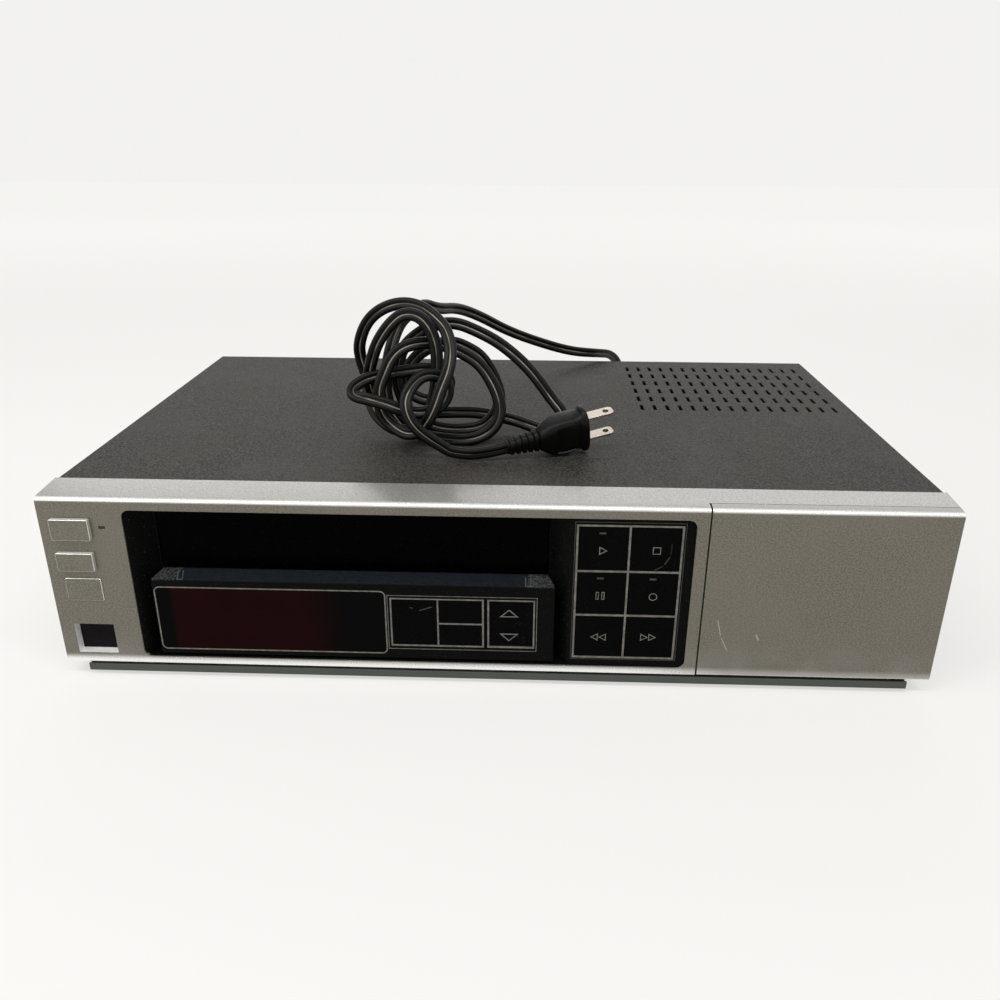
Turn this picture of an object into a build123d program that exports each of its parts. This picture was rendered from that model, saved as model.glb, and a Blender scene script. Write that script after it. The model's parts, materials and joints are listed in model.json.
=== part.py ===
from build123d import *
import math
import os

# A front-loading video cassette recorder. Millimetres, +Z up, front toward -Y.
# The origin is at the middle of the footprint, on the floor.
# Depths run back from the front plane, heights run up from the lower edge of the silver face.

os.makedirs("parts", exist_ok=True)

# ---------------------------------------------------------------- case
CASE_W = 435.0          # width of the silver front
BODY_DEPTH = 273.2      # front plane to the back edge of the cover
FACE_H = 90.75          # height of the silver face
FOOT_H = 4.5
RIM_H = 3.5             # dark band between the feet and the silver face
TOP_RISE = 1.7          # how far the silver top strip climbs to the cover
BEZEL_D = 21.9          # depth of the silver top strip
BEZEL_WALL = 2.5
EDGE_R = 3.0            # rounded top edge of the front
LOWER_R = 3.0           # rounded lower edge of the front
LIP_DROP = 1.1          # the front's lower edge hangs this far below the rest of its underside
LIP_D = 7.0
COVER_T = 1.0
COVER_INSET = 0.5       # the cover is this much narrower than the front, each side
FIT = 0.3               # gap between parts that only sit side by side
SLIDE_FIT = 0.15        # gap round a key or button in its hole
PIN_FIT = 0.05          # radial gap round a pin or shaft
BUTTON_PROUD = 2.5
REAR_PROUD = 11.0       # how far the aerial connectors stand out at the back

FRONT = -(BODY_DEPTH + REAR_PROUD - BUTTON_PROUD) / 2
FACE_Z = FOOT_H + RIM_H
HALF_W = CASE_W / 2
COVER_TOP = FACE_Z + FACE_H + TOP_RISE
COVER_HALF = HALF_W - COVER_INSET
CASE_HALF = COVER_HALF - COVER_T - FIT


def back(depth):
    """Y of a point that lies a depth behind the front plane."""
    return FRONT + depth


def up(height):
    """Z of a point at a height above the lower edge of the silver face."""
    return FACE_Z + height


def face(depth):
    """Sketch plane parallel to the front, seen from the front."""
    return Plane(origin=(0, back(depth), FACE_Z), x_dir=(1, 0, 0), z_dir=(0, -1, 0))


def plan(height):
    """Sketch plane seen from above, with v as the depth behind the front plane."""
    return Plane(origin=(0, FRONT, up(height)), x_dir=(1, 0, 0), z_dir=(0, 0, 1))


def side(x):
    """Sketch plane across the width, with u as depth and v as height."""
    return Plane(origin=(x, FRONT, FACE_Z), x_dir=(0, 1, 0), z_dir=(1, 0, 0))


def block(x0, x1, d0, d1, h0, h1, mode=Mode.ADD):
    """Box between two opposite corners, given as width, depth and height limits."""
    with Locations(((x0 + x1) / 2, back((d0 + d1) / 2), up((h0 + h1) / 2))):
        Box(x1 - x0, d1 - d0, h1 - h0, mode=mode)


def post(x, depth, h0, h1, radius, mode=Mode.ADD):
    """Upright cylinder from one height to another."""
    with Locations((x, back(depth), up((h0 + h1) / 2))):
        Cylinder(radius, h1 - h0, mode=mode)


def bar_x(x0, x1, depth, height, radius, mode=Mode.ADD):
    """Cylinder lying across the width."""
    with Locations(Location(((x0 + x1) / 2, back(depth), up(height)), (0, 90, 0))):
        Cylinder(radius, x1 - x0, mode=mode)


def bar_y(x, d0, d1, height, radius, mode=Mode.ADD):
    """Cylinder lying front to back."""
    with Locations(Location((x, back((d0 + d1) / 2), up(height)), (90, 0, 0))):
        Cylinder(radius, d1 - d0, mode=mode)


def mid(limits):
    """Middle of a pair of limits."""
    return (limits[0] + limits[1]) / 2


def span(limits):
    """Distance between a pair of limits."""
    return limits[1] - limits[0]


def write(piece, label):
    """Label a finished piece and write it to its own file."""
    piece.part.label = label
    export_step(piece.part, f"parts/{label}.step")


# ---------------------------------------------------------------- front layout
CASSETTE = (188.0, 103.0, 25.0)    # width, depth and height of the tape cassette
LEFT = -HALF_W
WIN_MARGIN = 40.6                  # silver left of the black window
WIN_R = 4.0
WIN_H = (4.0, FACE_H - 5.75)       # black window, over the height
FLAP_X0 = LEFT + WIN_MARGIN + 10.5
FLAP_X = (FLAP_X0, FLAP_X0 + CASSETTE[0] + 5.7)    # opening behind the flap
FLAP_TOP = WIN_H[1] - 0.7
DISH_RIGHT = FLAP_X[1] + 10.9      # front edge of the wall beside the transport keys
KEY_GRID_W = 49.6
KEY_X = (DISH_RIGHT + 2.0, DISH_RIGHT + 2.0 + KEY_GRID_W)    # first and last ruled line, across
KEY_H = (WIN_H[0] + 5.1, WIN_H[1] - 3.8)                     # first and last ruled line, up
WIN_X = (LEFT + WIN_MARGIN, KEY_X[1] + 6.0)        # black window, over the width
SEAM_X = WIN_X[1] + 5.7            # joint between the fixed front and the door
WALL_D = 13.0                      # depth of the wall that carries the flap
WALL_T = 3.0
PANEL_D = 0.8                      # the black mouldings sit this far behind the silver
DISH_LIP = 0.7                     # rim left round the dish in front
BLOCK_X = (FLAP_X[0] - 1.5, FLAP_X[1] + 3.1)       # lower block with the display and the small keys
BLOCK_H = (WIN_H[0] + 2.0, 47.2)
SILL_T = 0.8
SILL_H = BLOCK_H[1] + SILL_T
LINE_W = 1.0                       # silver ruled lines between the keys
KEY_COLS, KEY_ROWS = 2, 3
KEY_WELL = 8.0                     # depth of the wells that the keys run in
KEY_FLOOR = 2.0
SMALL_X = tuple(BLOCK_X[1] - inset for inset in (80.6, 57.4, 35.1, 32.4, 9.9))
SMALL_H = (BLOCK_H[0] + 7.5, BLOCK_H[0] + 20.3, BLOCK_H[1] - 7.2)
SMALL_LINE = 0.8
DISPLAY_X = (BLOCK_X[0] + 0.4, SMALL_X[0] - 2.3)
DISPLAY_H = (BLOCK_H[0] + 2.3, BLOCK_H[1] - 3.1)
DISPLAY_LINE = 0.7
DISPLAY_R = 3.0
POWER_X, POWER_H = (LEFT + 6.0, LEFT + 25.0), (FACE_H - 21.15, FACE_H - 10.25)
EJECT_X, EJECT_H = (LEFT + 6.1, LEFT + 24.3), (FACE_H - 37.75, FACE_H - 28.05)
INSTANT_X, INSTANT_H = (LEFT + 7.4, LEFT + 25.3), (FACE_H - 54.75, FACE_H - 42.35)
INSTANT_PROUD = 0.6
LAMP_X, LAMP_H = (LEFT + 28.9, LEFT + 31.9), (FACE_H - 15.55, FACE_H - 14.25)
REMOTE_X, REMOTE_H = (LEFT + 7.0, LEFT + 27.2), (5.7, 22.4)
REMOTE_R = 0.4
REMOTE_DEPTH = 3.6                 # how far the remote window sits behind the face
REMOTE_COLLAR = 1.5
BUTTON_R = 0.8
BUTTON_TRAVEL = 1.5
KEY_TRAVEL = 1.0
STEM_R = 2.0
FLANGE = 1.0
FLANGE_T = 1.2
BOARD_D = 22.5                     # front circuit board, depth behind the front plane
BOARD_T = 1.6
SWITCH_T = 3.5                     # height of a switch on the front board
TRAVEL_GAP = 0.3                   # gap left between a pressed stem and its switch

# door over the control panel
DOOR_BARREL = 3.0                  # radius of the rolled lower edge, and depth of the hinge axis
DOOR_AXIS_H = 2.2
DOOR_T = 2.8
DOOR_LIP_D = 6.2                   # how far the door wraps over the top edge
DOOR_PROUD = 0.3
POCKET_D = DOOR_LIP_D + 0.5
DOOR_GAP = 0.9
LUG_INSET = 16.0
LUG_W = 6.0
LUG_R = 2.2
LUG_PIN_R = 1.2
LUG_PIN_L = 1.6
DOOR_H = FACE_H - 0.2

# deck
DECK_X = (FLAP_X[0] + FLAP_X[1]) / 2               # middle of the cassette slot
DECK_HALF = CASSETTE[0] / 2 + 8.5
DECK_RIGHT = DECK_X + DECK_HALF
DECK_D = (36.0, BODY_DEPTH - 23.2)
DECK_H = 22.0
DECK_T = 1.5
BAY_CLEAR = 0.7                    # clearance each side of the cassette in its holder
SHEET = 1.0
HOLDER_D = (31.0, 92.0)
HOLDER_WALL_D = 50.5
HOLDER_FLOOR = SILL_H + 1.0        # height at which the cassette slides in
SLIDE_BACK = 60.0
DROP = 18.0
CHEEK_T = 1.5
DRUM_D = 196.0
DRUM_R = 31.0
DRUM_TILT = 6.0


# ---------------------------------------------------------------- silver front
def front_outline(x, start, inset, edge_radius=0.0):
    """Outline of the front moulding at one width, shrunk by a wall thickness."""
    rise = TOP_RISE * (start + inset) / BEZEL_D
    with BuildSketch(side(x)) as outline:
        with BuildLine():
            Polyline(
                (start + inset, inset),
                (start + inset, FACE_H - inset + rise),
                (BEZEL_D, FACE_H + TOP_RISE - inset),
                (BEZEL_D, inset),
                close=True,
            )
        make_face()
        if edge_radius:
            with Locations((LIP_D / 2, 0)):
                Rectangle(LIP_D, 2 * LIP_DROP)
            fillet(outline.vertices().group_by(Axis.X)[0].sort_by(Axis.Y)[-1], edge_radius)
            fillet(outline.vertices().group_by(Axis.X)[0].sort_by(Axis.Y)[0], LOWER_R)
    return outline.sketch


def rounded_hole(x_limits, h_limits, depth, through, radius, grow=0.0):
    """Cut a rounded rectangle through the front from a given depth."""
    with BuildSketch(face(depth)) as outline:
        with Locations((mid(x_limits), mid(h_limits))):
            RectangleRounded(span(x_limits) + 2 * grow, span(h_limits) + 2 * grow, radius + grow)
    extrude(outline.sketch, amount=-through, mode=Mode.SUBTRACT)


def hinge_lugs():
    """Lugs with side pins that carry the door along its lower edge."""
    for x in (SEAM_X + LUG_INSET, HALF_W - LUG_INSET):
        block(x - LUG_W / 2, x + LUG_W / 2, DOOR_BARREL, POCKET_D + BEZEL_WALL,
              DOOR_AXIS_H - LUG_R, DOOR_AXIS_H + LUG_R)
        bar_x(x - LUG_W / 2, x + LUG_W / 2, DOOR_BARREL, DOOR_AXIS_H, LUG_R)
        reach = LUG_W / 2 + LUG_PIN_L
        bar_x(x - reach, x + reach, DOOR_BARREL, DOOR_AXIS_H, LUG_PIN_R)


PANEL_MARGIN = 7.0
PANEL_SILL = 12.0                  # height of the control panel's opening above the face's lower edge
PANEL_HEAD = 10.0
PANEL_X = (SEAM_X + PANEL_MARGIN, HALF_W - PANEL_MARGIN)
PANEL_H = (PANEL_SILL, FACE_H - PANEL_HEAD)

with BuildPart() as front_bezel:
    extrude(front_outline(-HALF_W, 0, 0, EDGE_R), amount=SEAM_X + HALF_W)
    extrude(front_outline(SEAM_X, POCKET_D, 0), amount=HALF_W - SEAM_X)
    extrude(front_outline(-HALF_W + BEZEL_WALL, 0, BEZEL_WALL),
            amount=SEAM_X + HALF_W - 2 * BEZEL_WALL, mode=Mode.SUBTRACT)
    extrude(front_outline(SEAM_X, POCKET_D, BEZEL_WALL),
            amount=HALF_W - SEAM_X - BEZEL_WALL, mode=Mode.SUBTRACT)
    rounded_hole(WIN_X, WIN_H, 0, BEZEL_WALL, WIN_R)
    rounded_hole(POWER_X, POWER_H, 0, BEZEL_WALL, BUTTON_R, SLIDE_FIT)
    rounded_hole(EJECT_X, EJECT_H, 0, BEZEL_WALL, BUTTON_R, SLIDE_FIT)
    rounded_hole(INSTANT_X, INSTANT_H, 0, BEZEL_WALL, BUTTON_R, SLIDE_FIT)
    rounded_hole(LAMP_X, LAMP_H, 0, BEZEL_WALL, SLIDE_FIT, SLIDE_FIT)
    block(REMOTE_X[0] - REMOTE_COLLAR, REMOTE_X[1] + REMOTE_COLLAR, BEZEL_WALL, REMOTE_DEPTH,
          REMOTE_H[0] - REMOTE_COLLAR, REMOTE_H[1] + REMOTE_COLLAR)
    rounded_hole(REMOTE_X, REMOTE_H, 0, REMOTE_DEPTH, REMOTE_R)
    rounded_hole(PANEL_X, PANEL_H, POCKET_D, BEZEL_WALL, WIN_R)
    hinge_lugs()
write(front_bezel, "front_bezel")


# ---------------------------------------------------------------- black window surround
def key_cell(column, row):
    """Limits of one transport key cell, inside its ruled lines."""
    pitch_x = span(KEY_X) / KEY_COLS
    pitch_h = span(KEY_H) / KEY_ROWS
    half = LINE_W / 2
    x0 = KEY_X[0] + column * pitch_x
    h0 = KEY_H[0] + row * pitch_h
    return (x0 + half, x0 + pitch_x - half), (h0 + half, h0 + pitch_h - half)


half_line = SMALL_LINE / 2
TAPE_TV_CELL = (
    (SMALL_X[0] + half_line, SMALL_X[1] - half_line),
    (SMALL_H[0] + half_line, SMALL_H[2] - half_line),
)
COUNTER_CELL = (
    (SMALL_X[1] + half_line, SMALL_X[2] - half_line),
    (SMALL_H[1] + half_line, SMALL_H[2] - half_line),
)
RESET_CELL = (
    (SMALL_X[1] + half_line, SMALL_X[2] - half_line),
    (SMALL_H[0] + half_line, SMALL_H[1] - half_line),
)
CHANNEL_CELL = (
    (SMALL_X[3] + half_line, SMALL_X[4] - half_line),
    (SMALL_H[0] + half_line, SMALL_H[2] - half_line),
)
TRANSPORT_CELLS = [key_cell(c, r) for r in range(KEY_ROWS) for c in range(KEY_COLS)]
SMALL_CELLS = [TAPE_TV_CELL, COUNTER_CELL, RESET_CELL]
FLAP_AXIS_D = WALL_D + WALL_T / 2
FLAP_AXIS_H = FLAP_TOP - 2.3
FLAP_T = 2.2
FLAP_PIN_R = 1.2
FLAP_PIN_L = 2.0
SURROUND_BACK = WALL_D + WALL_T
GLASS_T = 2.0
ROCKER_PIN_R = 1.2
ROCKER_PIN_L = 1.2
ROCKER_ROOM = 1.0                  # room round the rocker stems as they swing
ROCKER_AXIS_D = PANEL_D + 4.0


def stem_holes(cells):
    """Holes for the key stems through the floor of a well."""
    for x_limits, h_limits in cells:
        bar_y(mid(x_limits), KEY_WELL - 1, SURROUND_BACK + 1, mid(h_limits),
              STEM_R + SLIDE_FIT, Mode.SUBTRACT)


with BuildPart() as window_surround:
    rim = SLIDE_FIT
    block(WIN_X[0] - 3, SEAM_X - BEZEL_WALL - FIT, BEZEL_WALL + PIN_FIT, BEZEL_WALL + 2,
          BEZEL_WALL + FIT / 2, WIN_H[1] + 2.2)
    with BuildSketch(face(PANEL_D)):
        with Locations((mid(WIN_X), mid(WIN_H))):
            RectangleRounded(span(WIN_X) - 2 * rim, span(WIN_H) - 2 * rim, WIN_R - rim)
    extrude(amount=-(SURROUND_BACK - PANEL_D))
    with BuildSketch(plan(WIN_H[0] + rim + DISH_LIP)):
        with BuildLine():
            Polyline(
                (WIN_X[0] + rim + DISH_LIP, PANEL_D - 1),
                (DISH_RIGHT, PANEL_D - 1),
                (DISH_RIGHT, PANEL_D),
                (FLAP_X[1] + FIT, WALL_D),
                (FLAP_X[0] - 2 * FIT, WALL_D),
                (WIN_X[0] + rim + DISH_LIP, PANEL_D),
                close=True,
            )
        make_face()
    extrude(amount=FLAP_TOP - WIN_H[0] - rim - DISH_LIP, mode=Mode.SUBTRACT)
    block(*BLOCK_X, PANEL_D, WALL_D, *BLOCK_H)
    block(*FLAP_X, WALL_D - 1, SURROUND_BACK + 1, SILL_H, FLAP_TOP, Mode.SUBTRACT)
    block(FLAP_X[0], FLAP_X[1], WALL_D, SURROUND_BACK + 1, BLOCK_H[1], SILL_H, Mode.SUBTRACT)
    bar_x(FLAP_X[0] - FLAP_PIN_L, FLAP_X[1] + FLAP_PIN_L, FLAP_AXIS_D, FLAP_AXIS_H,
          FLAP_PIN_R + PIN_FIT, Mode.SUBTRACT)
    line = LINE_W / 2
    block(KEY_X[0] - line, KEY_X[1] + line, 0, KEY_WELL, KEY_H[0] - line, KEY_H[1] + line,
          Mode.SUBTRACT)
    block(SMALL_X[0] - half_line, SMALL_X[4] + half_line, 0, KEY_WELL,
          SMALL_H[0] - half_line, SMALL_H[2] + half_line, Mode.SUBTRACT)
    block(KEY_X[0] - line, KEY_X[1] + line, KEY_WELL + KEY_FLOOR, SURROUND_BACK + 1,
          KEY_H[0] - line, KEY_H[1] + line, Mode.SUBTRACT)
    stem_holes(TRANSPORT_CELLS)
    stem_holes(SMALL_CELLS)
    for offset in (-1, 1):
        bar_y(mid(CHANNEL_CELL[0]), KEY_WELL - 1, SURROUND_BACK + 1,
              mid(CHANNEL_CELL[1]) + offset * span(CHANNEL_CELL[1]) / 4,
              STEM_R + ROCKER_ROOM, Mode.SUBTRACT)
    rounded_hole(DISPLAY_X, DISPLAY_H, PANEL_D, GLASS_T, DISPLAY_R)
    inner_x = (DISPLAY_X[0] + 5, DISPLAY_X[1] - 5)
    inner_h = (DISPLAY_H[0] + 4, DISPLAY_H[1] - 4)
    block(*inner_x, PANEL_D, SURROUND_BACK + 1, *inner_h, Mode.SUBTRACT)
write(window_surround, "window_surround")

with BuildPart() as cassette_sill:
    with BuildSketch(plan(BLOCK_H[1])):
        with BuildLine():
            Polyline(
                (BLOCK_X[0], PANEL_D),
                (BLOCK_X[1], PANEL_D),
                (FLAP_X[1], WALL_D),
                (FLAP_X[1], WALL_D + 13),
                (FLAP_X[0], WALL_D + 13),
                (FLAP_X[0], WALL_D),
                close=True,
            )
        make_face()
    extrude(amount=SILL_T)
    slot_x = (FLAP_X[0] + 7.5, FLAP_X[1] - 9.5)
    for x in slot_x:
        block(x - 1, x + 1, 1.5, WALL_D - 2, BLOCK_H[1] + SILL_T / 2, SILL_H, Mode.SUBTRACT)
write(cassette_sill, "cassette_sill")

FLAP_SIDE_GAP = 0.4
with BuildPart() as cassette_flap:
    block(FLAP_X[0] + FLAP_SIDE_GAP, FLAP_X[1] - FLAP_SIDE_GAP,
          FLAP_AXIS_D - FLAP_T / 2, FLAP_AXIS_D + FLAP_T / 2, SILL_H + 0.5, FLAP_AXIS_H)
    bar_x(FLAP_X[0] + FLAP_SIDE_GAP, FLAP_X[1] - FLAP_SIDE_GAP, FLAP_AXIS_D, FLAP_AXIS_H, 1.8)
    pin_end = FLAP_PIN_L - PIN_FIT
    bar_x(FLAP_X[0] - pin_end, FLAP_X[1] + pin_end, FLAP_AXIS_D, FLAP_AXIS_H, FLAP_PIN_R)
write(cassette_flap, "cassette_flap")


# ---------------------------------------------------------------- keys and trim
def cells_cut(cells, depth, grow=0.0):
    """Cut the key cells out of a ruled frame."""
    for x_limits, h_limits in cells:
        block(x_limits[0] - grow, x_limits[1] + grow, 0, depth + 1,
              h_limits[0] - grow, h_limits[1] + grow, Mode.SUBTRACT)


with BuildPart() as silver_trim:
    line = LINE_W / 2
    block(KEY_X[0] - line, KEY_X[1] + line, PANEL_D, KEY_WELL, KEY_H[0] - line, KEY_H[1] + line)
    block(SMALL_X[0] - half_line, SMALL_X[4] + half_line, PANEL_D, KEY_WELL,
          SMALL_H[0] - half_line, SMALL_H[2] + half_line)
    cells_cut(TRANSPORT_CELLS, KEY_WELL)
    cells_cut(SMALL_CELLS, KEY_WELL)
    cells_cut([CHANNEL_CELL], KEY_WELL)
    bar_x(CHANNEL_CELL[0][0] - ROCKER_PIN_L, CHANNEL_CELL[0][1] + ROCKER_PIN_L / 2,
          ROCKER_AXIS_D, mid(CHANNEL_CELL[1]), ROCKER_PIN_R + PIN_FIT, Mode.SUBTRACT)
    with BuildSketch(face(PANEL_D)):
        with Locations((mid(DISPLAY_X), mid(DISPLAY_H))):
            RectangleRounded(span(DISPLAY_X), span(DISPLAY_H), DISPLAY_R)
            RectangleRounded(span(DISPLAY_X) - 2 * DISPLAY_LINE, span(DISPLAY_H) - 2 * DISPLAY_LINE,
                             DISPLAY_R - DISPLAY_LINE, mode=Mode.SUBTRACT)
    extrude(amount=-GLASS_T)
write(silver_trim, "silver_trim")

with BuildPart() as display_window:
    with BuildSketch(face(PANEL_D)):
        with Locations((mid(DISPLAY_X), mid(DISPLAY_H))):
            RectangleRounded(span(DISPLAY_X) - 2 * DISPLAY_LINE, span(DISPLAY_H) - 2 * DISPLAY_LINE,
                             DISPLAY_R - DISPLAY_LINE)
    extrude(amount=-GLASS_T)
write(display_window, "display_window")

with BuildPart() as display_tube:
    tube_x = (inner_x[0] + 6, inner_x[1] - 22)
    tube_h = (inner_h[0] + 2, inner_h[1] - 2)
    block(*tube_x, PANEL_D + GLASS_T + 1, BOARD_D - 1, *tube_h)
    for x in (tube_x[0] + 4, tube_x[1] - 4):
        block(x - 2, x + 2, BOARD_D - 1, BOARD_D, tube_h[0] + 2, tube_h[1] - 2)
write(display_tube, "display_tube")

SWITCH_TOP = BOARD_D - SWITCH_T


def key_part(cell, label):
    """A key cap with a stem that reaches back to its switch."""
    x_limits, h_limits = cell
    with BuildPart() as key:
        block(x_limits[0] + SLIDE_FIT, x_limits[1] - SLIDE_FIT, PANEL_D + 0.1, KEY_WELL - KEY_TRAVEL - 0.2,
              h_limits[0] + SLIDE_FIT, h_limits[1] - SLIDE_FIT)
        bar_y(mid(x_limits), KEY_WELL - KEY_TRAVEL - 1, SWITCH_TOP - KEY_TRAVEL - TRAVEL_GAP,
              mid(h_limits), STEM_R)
    write(key, label)


TRANSPORT_KEYS = ("rewind_key", "forward_key", "pause_key", "record_key", "play_key", "stop_key")
for cell, label in zip(TRANSPORT_CELLS, TRANSPORT_KEYS):
    key_part(cell, label)
key_part(TAPE_TV_CELL, "tape_tv_key")
key_part(COUNTER_CELL, "counter_key")
key_part(RESET_CELL, "reset_key")

with BuildPart() as channel_rocker:
    gap = 2 * SLIDE_FIT
    block(CHANNEL_CELL[0][0] + gap, CHANNEL_CELL[0][1] - gap, PANEL_D + 0.5, PANEL_D + 5.5,
          CHANNEL_CELL[1][0] + gap, CHANNEL_CELL[1][1] - gap)
    bar_x(CHANNEL_CELL[0][0] - ROCKER_PIN_L + PIN_FIT, CHANNEL_CELL[0][1] + ROCKER_PIN_L / 2 - PIN_FIT,
          ROCKER_AXIS_D, mid(CHANNEL_CELL[1]), ROCKER_PIN_R)
    for offset in (-1, 1):
        bar_y(mid(CHANNEL_CELL[0]), PANEL_D + 5, SWITCH_TOP - KEY_TRAVEL - 2 * TRAVEL_GAP,
              mid(CHANNEL_CELL[1]) + offset * span(CHANNEL_CELL[1]) / 4, STEM_R)
write(channel_rocker, "channel_rocker")


def button_part(x_limits, h_limits, proud, label):
    """A silver push button with a flange behind the front wall and a stem."""
    with BuildPart() as button:
        with BuildSketch(face(-proud)):
            with Locations((mid(x_limits), mid(h_limits))):
                RectangleRounded(span(x_limits), span(h_limits), BUTTON_R)
        extrude(amount=-(proud + BEZEL_WALL + PIN_FIT))
        fillet(button.faces().sort_by(Axis.Y)[0].edges(), BUTTON_R / 2)
        block(x_limits[0] - FLANGE, x_limits[1] + FLANGE, BEZEL_WALL + PIN_FIT,
              BEZEL_WALL + PIN_FIT + FLANGE_T, h_limits[0] - FLANGE, h_limits[1] + FLANGE)
        bar_y(mid(x_limits), BEZEL_WALL + FLANGE_T, SWITCH_TOP - BUTTON_TRAVEL - TRAVEL_GAP,
              mid(h_limits), STEM_R)
    write(button, label)


button_part(POWER_X, POWER_H, BUTTON_PROUD, "power_button")
button_part(EJECT_X, EJECT_H, BUTTON_PROUD, "eject_button")
button_part(INSTANT_X, INSTANT_H, INSTANT_PROUD, "instant_record_button")

with BuildPart() as power_lamp:
    block(*LAMP_X, 0.1, BEZEL_WALL + PIN_FIT, *LAMP_H)
    bar_y(mid(LAMP_X), BEZEL_WALL + PIN_FIT, BOARD_D, mid(LAMP_H), 1.5)
write(power_lamp, "power_lamp")

with BuildPart() as remote_window:
    block(REMOTE_X[0] - FLANGE, REMOTE_X[1] + FLANGE, REMOTE_DEPTH + PIN_FIT, REMOTE_DEPTH + PIN_FIT + FLANGE_T,
          REMOTE_H[0] - FLANGE, REMOTE_H[1] + FLANGE)
    block(mid(REMOTE_X) - 4, mid(REMOTE_X) + 4, REMOTE_DEPTH + FLANGE_T, BOARD_D,
          mid(REMOTE_H) - 4, mid(REMOTE_H) + 4)
write(remote_window, "remote_window")

# ---------------------------------------------------------------- door and control panel
with BuildPart() as control_door:
    left = SEAM_X + DOOR_GAP
    with BuildSketch(side(left)) as door_outline:
        with BuildLine():
            Polyline(
                (0, DOOR_AXIS_H),
                (0, DOOR_H),
                (DOOR_LIP_D, DOOR_H + TOP_RISE * DOOR_LIP_D / BEZEL_D + DOOR_PROUD),
                (DOOR_LIP_D, DOOR_H - DOOR_T),
                (DOOR_T, DOOR_H - DOOR_T),
                (DOOR_T, DOOR_AXIS_H),
                close=True,
            )
        make_face()
        with Locations((DOOR_BARREL, DOOR_AXIS_H)):
            Circle(DOOR_BARREL)
        fillet(door_outline.vertices().group_by(Axis.X)[0].sort_by(Axis.Y)[-1], EDGE_R)
    extrude(amount=HALF_W - left)
    for x0, x1 in ((left, left + 2.2), (HALF_W - 2.2, HALF_W)):
        block(x0, x1, DOOR_T - 0.5, DOOR_LIP_D, DOOR_AXIS_H, DOOR_H - DOOR_T + 0.5)
    for x in (SEAM_X + LUG_INSET, HALF_W - LUG_INSET):
        half_slot = LUG_W / 2 + FIT
        block(x - half_slot, x + half_slot, DOOR_BARREL - LUG_R - FIT, DOOR_LIP_D + 1,
              -1, DOOR_AXIS_H + LUG_R + FIT, Mode.SUBTRACT)
        reach = LUG_W / 2 + LUG_PIN_L + PIN_FIT
        bar_x(x - reach, x + reach, DOOR_BARREL, DOOR_AXIS_H, LUG_PIN_R + PIN_FIT, Mode.SUBTRACT)
write(control_door, "control_door")

TRAY_D = 14.0
TRAY_T = 1.6
KNOB_X, KNOB_H = PANEL_X[0] + 15.0, PANEL_H[0] + 40.0
KNOB_R = 8.0
KNOB_PROUD = 4.5
SPEED_X, SPEED_H = KNOB_X, PANEL_H[0] + 18.0
SPEED_TRAVEL = 8.0
SET_KEYS = {"clock_key": (PANEL_X[1] - 24.0, KNOB_H), "program_key": (PANEL_X[1] - 24.0, SPEED_H)}
SET_KEY_SIZE = (12.0, 7.0)

with BuildPart() as control_panel:
    outer_x = (PANEL_X[0] + FIT / 2, PANEL_X[1] - FIT / 2)
    outer_h = (PANEL_H[0] + FIT / 2, PANEL_H[1] - FIT / 2)
    with BuildSketch(face(POCKET_D + 0.5)):
        with Locations((mid(outer_x), mid(outer_h))):
            RectangleRounded(span(outer_x), span(outer_h), WIN_R)
    extrude(amount=-(TRAY_D + TRAY_T - POCKET_D - 0.5))
    block(outer_x[0] - 3, outer_x[1] + 3, POCKET_D + BEZEL_WALL + PIN_FIT, POCKET_D + BEZEL_WALL + 1.5,
          outer_h[0] - 3, outer_h[1] + 3)
    with BuildSketch(face(POCKET_D)):
        with Locations((mid(outer_x), mid(outer_h))):
            RectangleRounded(span(outer_x) - 2 * TRAY_T, span(outer_h) - 2 * TRAY_T, WIN_R - TRAY_T)
    extrude(amount=-(TRAY_D - POCKET_D), mode=Mode.SUBTRACT)
    bar_y(KNOB_X, TRAY_D - 1, TRAY_D + TRAY_T + 1, KNOB_H, 3.0 + PIN_FIT, Mode.SUBTRACT)
    slot_half = SPEED_TRAVEL / 2 + 2 + SLIDE_FIT
    block(SPEED_X - slot_half, SPEED_X + slot_half, TRAY_D - 1, TRAY_D + TRAY_T + 1,
          SPEED_H - 1.5 - SLIDE_FIT, SPEED_H + 1.5 + SLIDE_FIT, Mode.SUBTRACT)
    for x, h in SET_KEYS.values():
        half_x = SET_KEY_SIZE[0] / 2 + SLIDE_FIT
        half_h = SET_KEY_SIZE[1] / 2 + SLIDE_FIT
        block(x - half_x, x + half_x, TRAY_D - 1, TRAY_D + TRAY_T + 1, h - half_h, h + half_h,
              Mode.SUBTRACT)
write(control_panel, "control_panel")

with BuildPart() as tracking_knob:
    bar_y(KNOB_X, TRAY_D - KNOB_PROUD, TRAY_D - 0.3, KNOB_H, KNOB_R)
    chamfer(tracking_knob.faces().sort_by(Axis.Y)[0].edges(), 0.6)
    bar_y(KNOB_X, TRAY_D - 1, BOARD_D - 1, KNOB_H, 3.0)
    block(KNOB_X - 0.5, KNOB_X + 0.5, TRAY_D - KNOB_PROUD - 1, TRAY_D - KNOB_PROUD + 0.5,
          KNOB_H + 1, KNOB_H + KNOB_R, Mode.SUBTRACT)
write(tracking_knob, "tracking_knob")

with BuildPart() as speed_switch:
    start = SPEED_X - SPEED_TRAVEL / 2
    block(start - 3.5, start + 3.5, TRAY_D - 3.5, TRAY_D - 0.1, SPEED_H - 3, SPEED_H + 3)
    block(start - 2, start + 2, TRAY_D - 0.5, SWITCH_TOP + 1, SPEED_H - 1.5, SPEED_H + 1.5)
write(speed_switch, "speed_switch")

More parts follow.
